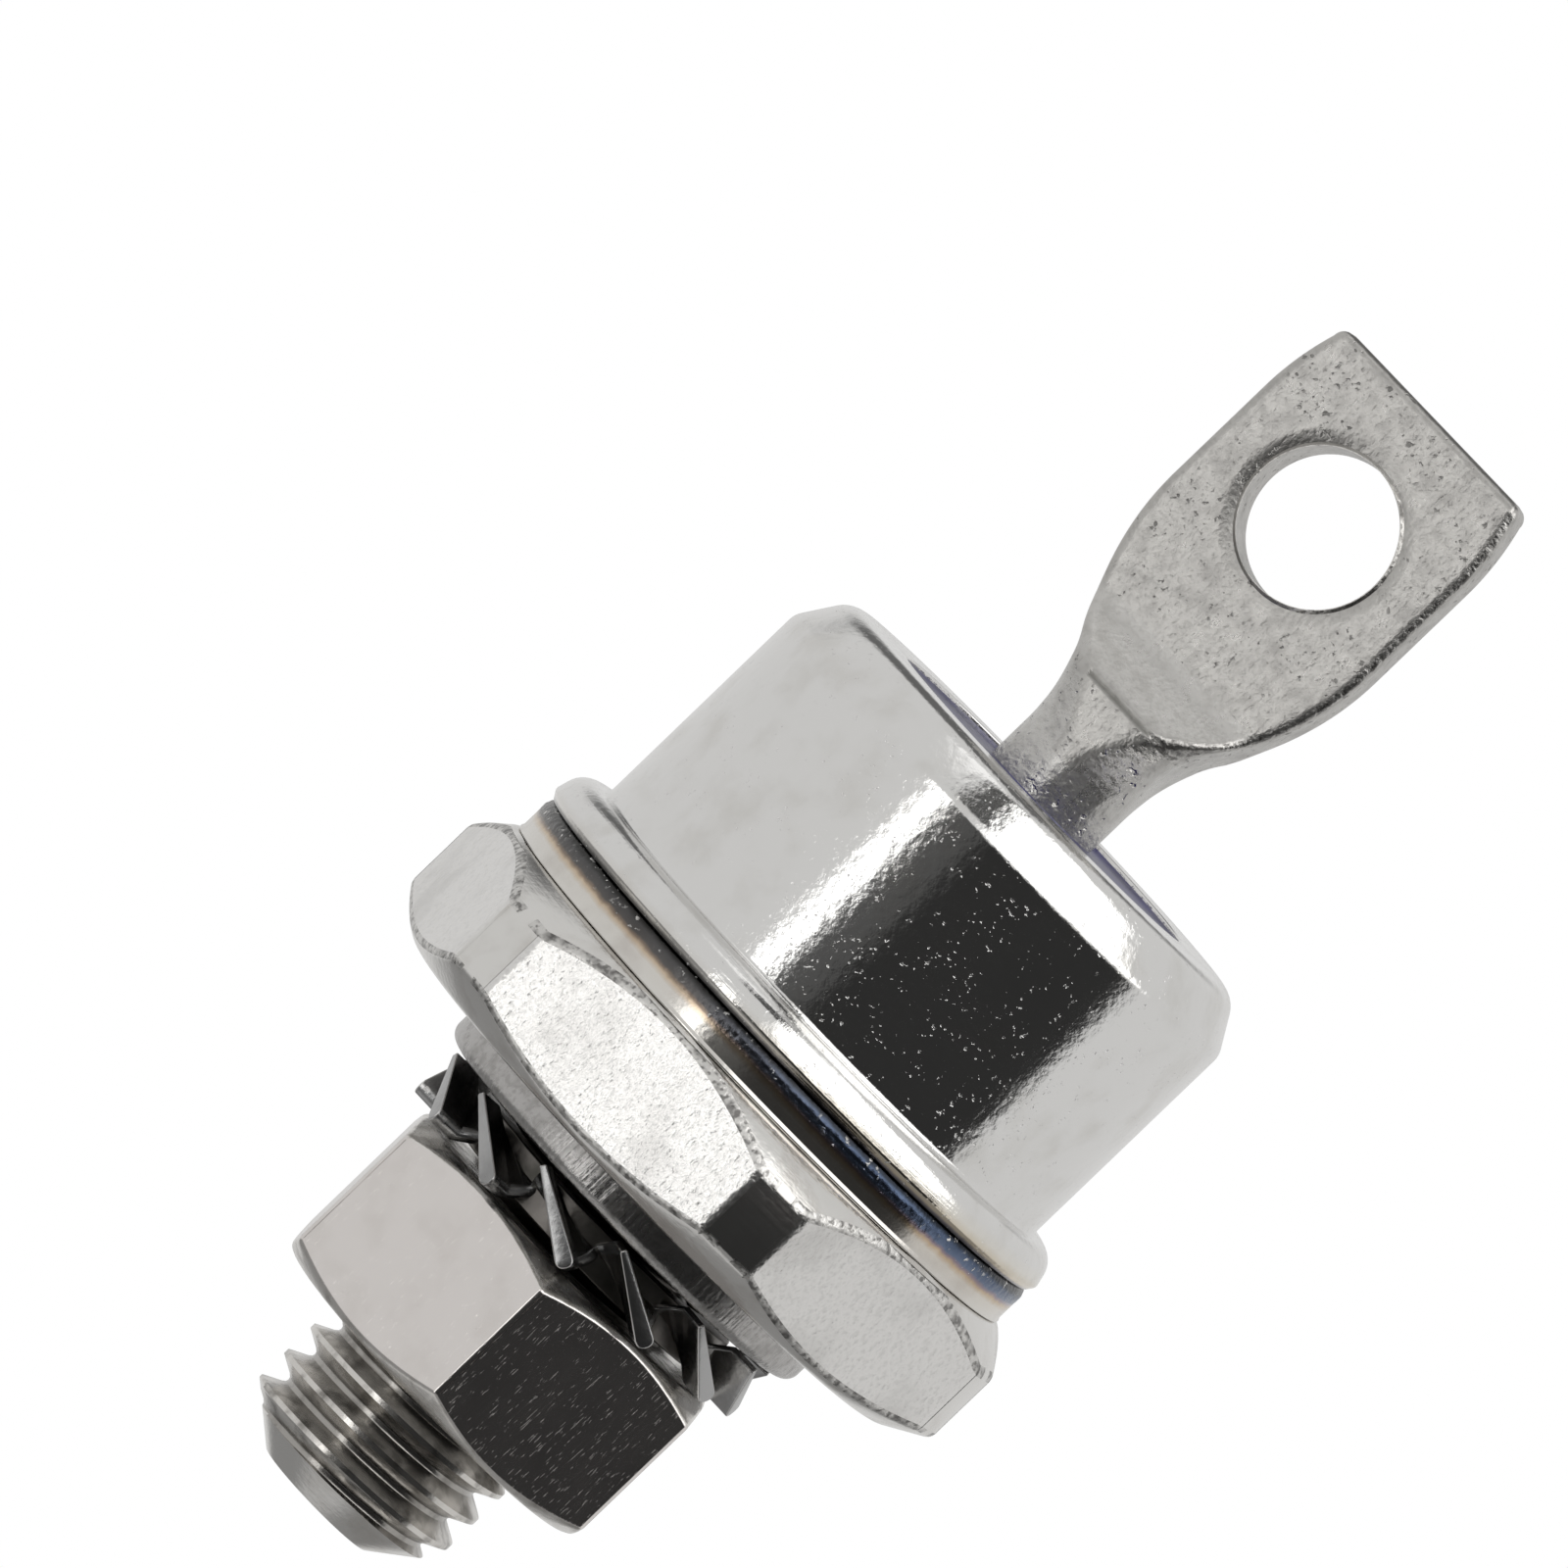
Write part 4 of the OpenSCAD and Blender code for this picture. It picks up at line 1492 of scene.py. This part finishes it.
@dataclass
class HexNut(Piece):
    """Nut chamfered at both ends, with the thread that meshes with the stud."""

    flats: float = 10.0
    first_flat: float = 76.0
    foot_z: float = 3.8785
    top_z: float = 8.6785
    face_r: float = 4.8
    corner_room: float = 0.05
    chamfer: float = 30.0
    chamfer_face: float = 0.5
    bore_r: float = 2.72
    sink: float = 0.64
    edge: float = 0.11
    edge_angle: float = 18.0
    play: float = 0.02
    thread: Thread = field(default_factory=Thread)

    def build(self) -> Object:
        """Turns and mills the blank, softens it and cuts the thread.

        Returns:
            The nut.
        """
        corner_r = self.flats / 2 / math.cos(math.pi / SIDES) + self.corner_room
        rise = (corner_r - self.face_r) * math.tan(math.radians(self.chamfer))
        nut = Bench.turn(self.node, [
            (self.bore_r, self.foot_z + self.sink, 0), (self.bore_r + self.sink, self.foot_z, 0),
            (self.face_r, self.foot_z, 0), (corner_r, self.foot_z + rise, 0),
            (corner_r, self.top_z - rise, 0), (self.face_r, self.top_z, 0),
            (self.bore_r + self.sink, self.top_z, 0), (self.bore_r, self.top_z - self.sink, 0)])
        Bench.mill(nut, self.flats, self.first_flat)
        Bench.soften(nut, self.edge, self.edge_angle)
        Bench.combine(nut, self.thread.rod(self.play), Cut.BORE)
        return nut

    def finishes(self) -> list[Finish]:
        """Bright nut plating, thread and chamfers."""
        return [NUT_PLATING, THREAD, WORN_CHAMFER]

    def finish_at(self, centre: Vector, normal: Vector) -> int:
        """Tells the thread from the outside, and its chamfers from its flats.

        Args:
            centre: Middle of the face.
            normal: Direction that the face looks in.

        Returns:
            Index of the finish.
        """
        if math.hypot(centre.x, centre.y) < self.bore_r + self.sink:
            return 1
        return 2 if abs(normal.z) > self.chamfer_face else 0


@dataclass
class InnerParts:
    """The sealed parts inside the can, which keep their CAD shapes."""

    finishes: tuple[tuple[str, Metal], ...] = (
        ("inner_lead", BARE_COPPER), ("lead_cup", BARE_COPPER), ("upper_disc", LAPPED_DISC),
        ("lower_disc", LAPPED_DISC), ("silicon_die", CRYSTAL), ("junction_coating", VARNISH))

    def dress(self, nodes: dict[str, Object]) -> None:
        """Gives each inner node its finish.

        Args:
            nodes: The CAD nodes by name.
        """
        for name, finish in self.finishes:
            nodes[name].data.materials.clear()
            nodes[name].data.materials.append(finish.material())
            LOG.info("%s: %s", name, finish.name)


@dataclass(frozen=True)
class LightZone:
    """Part of the light tent with a brightness of its own, by angles from the lens in degrees."""

    name: str
    azimuth: float
    half: float
    low: float
    high: float
    level: float
    soft: float

    def share(self, sheet: Sheet, angle: Socket, height: Socket) -> Socket:
        """Share of the zone in the light from a direction.

        Args:
            sheet: Node tree of the world.
            angle: Angle of the direction from the lens.
            height: Angle of the direction above the level.

        Returns:
            1 inside the zone and 0 outside it.
        """
        off = sheet.sum("WRAP", sheet.sum("SUBTRACT", angle, self.azimuth), 180.0, -180.0)
        inside = sheet.step(sheet.sum("ABSOLUTE", off), self.half - self.soft,
                            self.half + self.soft, (1.0, 0.0))
        above = sheet.step(height, self.low - self.soft, self.low + self.soft)
        below = sheet.step(height, self.high - self.soft, self.high + self.soft, (1.0, 0.0))
        return sheet.sum("MULTIPLY", inside, sheet.sum("MULTIPLY", above, below))


@dataclass
class Studio:
    """Pale floor, soft light tent with a dark gap round the lens, and the camera."""

    azimuth: float = 15.0
    elevation: float = 3.0
    roll: float = 43.88
    distance: float = 420.0
    scale: float = 41.33
    frame_px: float = 1600.0
    aim_z: float = 19.22
    aim_px: Point = (893.3, 981.0)
    sensor: float = 36.0
    clip: Point = (0.05, 20.0)
    floor_z: float = -250.0
    floor_half: float = 1500.0
    floor_colors: tuple[Color, Color] = (grey(0.80), grey(0.84))
    floor_cloud: float = 0.01
    floor_rough: float = 0.9
    tent: float = 0.72
    tent_color: Color = (1.0, 0.995, 0.985)
    zones: tuple[LightZone, ...] = (
        LightZone("table", 0.0, 200.0, -100.0, -27.0, 0.28, 8.0),
        LightZone("below", 0.0, 200.0, -100.0, -67.0, 0.55, 6.0),
        LightZone("back_wall", 192.0, 24.0, 20.0, 86.0, 0.15, 8.0),
        LightZone("lens_gap", 28.0, 50.0, -36.0, 14.0, 0.03, 3.0),
        LightZone("lens_edge", -14.0, 8.0, -36.0, 14.0, 0.09, 4.0),
        LightZone("side_strip", -29.5, 4.2, -40.0, 22.0, 2.1, 2.0),
        LightZone("left_box", -58.0, 16.0, 60.0, 80.0, 1.15, 5.0),
        LightZone("overhead_gap", -21.0, 12.0, 50.0, 88.0, 0.08, 4.0),
        LightZone("overhead_box", 39.0, 47.0, 20.0, 80.0, 1.9, 4.0))

    def axes(self) -> tuple[Vector, Vector, Vector, Vector]:
        """Directions of the camera.

        Returns:
            Image right, image up, back towards the camera, and level right.
        """
        a, e, g = (math.radians(v) for v in (self.azimuth, self.elevation, self.roll))
        back = Vector((math.sin(a) * math.cos(e), -math.cos(a) * math.cos(e), math.sin(e)))
        level = Vector((math.cos(a), math.sin(a), 0))
        up = back.cross(level)
        right = up * math.cos(g) + level * math.sin(g)
        return right, up * math.sin(g) - level * math.cos(g), back, level

    def set_camera(self) -> None:
        """Places the camera at the viewing angle of the photograph."""
        right, up, back, _ = self.axes()
        centre = self.frame_px / 2
        across = (centre - self.aim_px[0]) / self.scale
        above = (self.aim_px[1] - centre) / self.scale
        place = Vector((0, 0, self.aim_z)) + back * self.distance + right * across + up * above
        bpy.ops.object.camera_add(location=place * MM)
        camera = bpy.context.object
        camera.name = "camera"
        turn = Matrix((right, up, back)).transposed()
        camera.matrix_world = Matrix.Translation(place * MM) @ turn.to_4x4()
        camera.data.sensor_width = self.sensor
        camera.data.lens = self.sensor * self.scale * self.distance / self.frame_px
        camera.data.clip_start, camera.data.clip_end = self.clip
        bpy.context.scene.camera = camera
        LOG.info("camera: lens %.0f mm", camera.data.lens)

    def lay_floor(self) -> None:
        """Lays the pale floor well below the stud."""
        bpy.ops.mesh.primitive_plane_add(size=2 * self.floor_half * MM,
                                         location=(0, 0, self.floor_z * MM))
        floor = bpy.context.object
        floor.name = "floor"
        floor.visible_glossy = False
        material = bpy.data.materials.new("pale_floor")
        sheet = Sheet(material)
        pale = sheet.mix(sheet.noise(sheet.millimetres(), self.floor_cloud), *self.floor_colors)
        sheet.tree.links.new(pale, sheet.shader.inputs["Base Color"])
        sheet.shader.inputs["Roughness"].default_value = self.floor_rough
        floor.data.materials.append(material)

    def light(self) -> None:
        """Builds the light tent as the world: pale all round, with its brighter and darker zones."""
        world = bpy.data.worlds.new("light_tent")
        bpy.context.scene.world = world
        sheet = Sheet(world)
        sheet.tree.nodes.clear()
        _, _, back, level = self.axes()
        towards = sheet.put("TexCoord", {}).outputs["Generated"]

        def along(axis: Vector) -> Socket:
            """Share of the light's direction along an axis."""
            node = sheet.put("VectorMath", {0: towards, 1: axis}, operation="DOT_PRODUCT")
            return node.outputs["Value"]

        front = Vector((back.x, back.y, 0)).normalized()
        angle = sheet.sum("MULTIPLY", sheet.sum("ARCTAN2", along(level), along(front)), DEGREES)
        height = sheet.sum("MULTIPLY", sheet.sum("ARCSINE", along(Vector((0, 0, 1)))), DEGREES)
        glow: Socket | float = self.tent
        for zone in self.zones:
            change = sheet.sum("SUBTRACT", zone.level, glow)
            glow = sheet.sum("MULTIPLY_ADD", zone.share(sheet, angle, height), change, glow)
            LOG.info("light: %s at %.2f", zone.name, zone.level)
        tent = sheet.put("Background", {"Color": (*self.tent_color, 1.0), "Strength": glow})
        paper = sheet.put("Background", {"Color": (*grey(1.0), 1.0), "Strength": 1.0})
        seen = sheet.put("LightPath", {}).outputs["Is Camera Ray"]
        both = sheet.put("MixShader", {0: seen, 1: tent.outputs[0], 2: paper.outputs[0]})
        sheet.put("OutputWorld", {"Surface": both.outputs[0]})
        bpy.context.scene.view_settings.view_transform = "Standard"


def main() -> None:
    """Builds the studio and every piece of the diode, then dresses the inner parts."""
    logging.basicConfig(level=logging.INFO, format="%(message)s")
    studio = Studio()
    studio.set_camera()
    studio.lay_floor()
    studio.light()
    thread = Thread()
    pieces: list[Piece] = [
        StudBase("stud_base", "base_plating", weighted=True, thread=thread),
        WeldRing("weld_ring", "ring_steel"),
        Can("can", "can_plating"),
        GlassSeal("glass_seal", "seal_glass"),
        Terminal("terminal", "terminal_tin"),
        FlatWasher("flat_washer", "washer_steel"),
        LockWasher("lock_washer", "spring_steel", weighted=True),
        HexNut("hex_nut", "nut_plating", weighted=True, thread=thread),
    ]
    for piece in pieces:
        piece.make()
    InnerParts().dress(frame["nodes"])


if __name__ == "__main__":
    main()
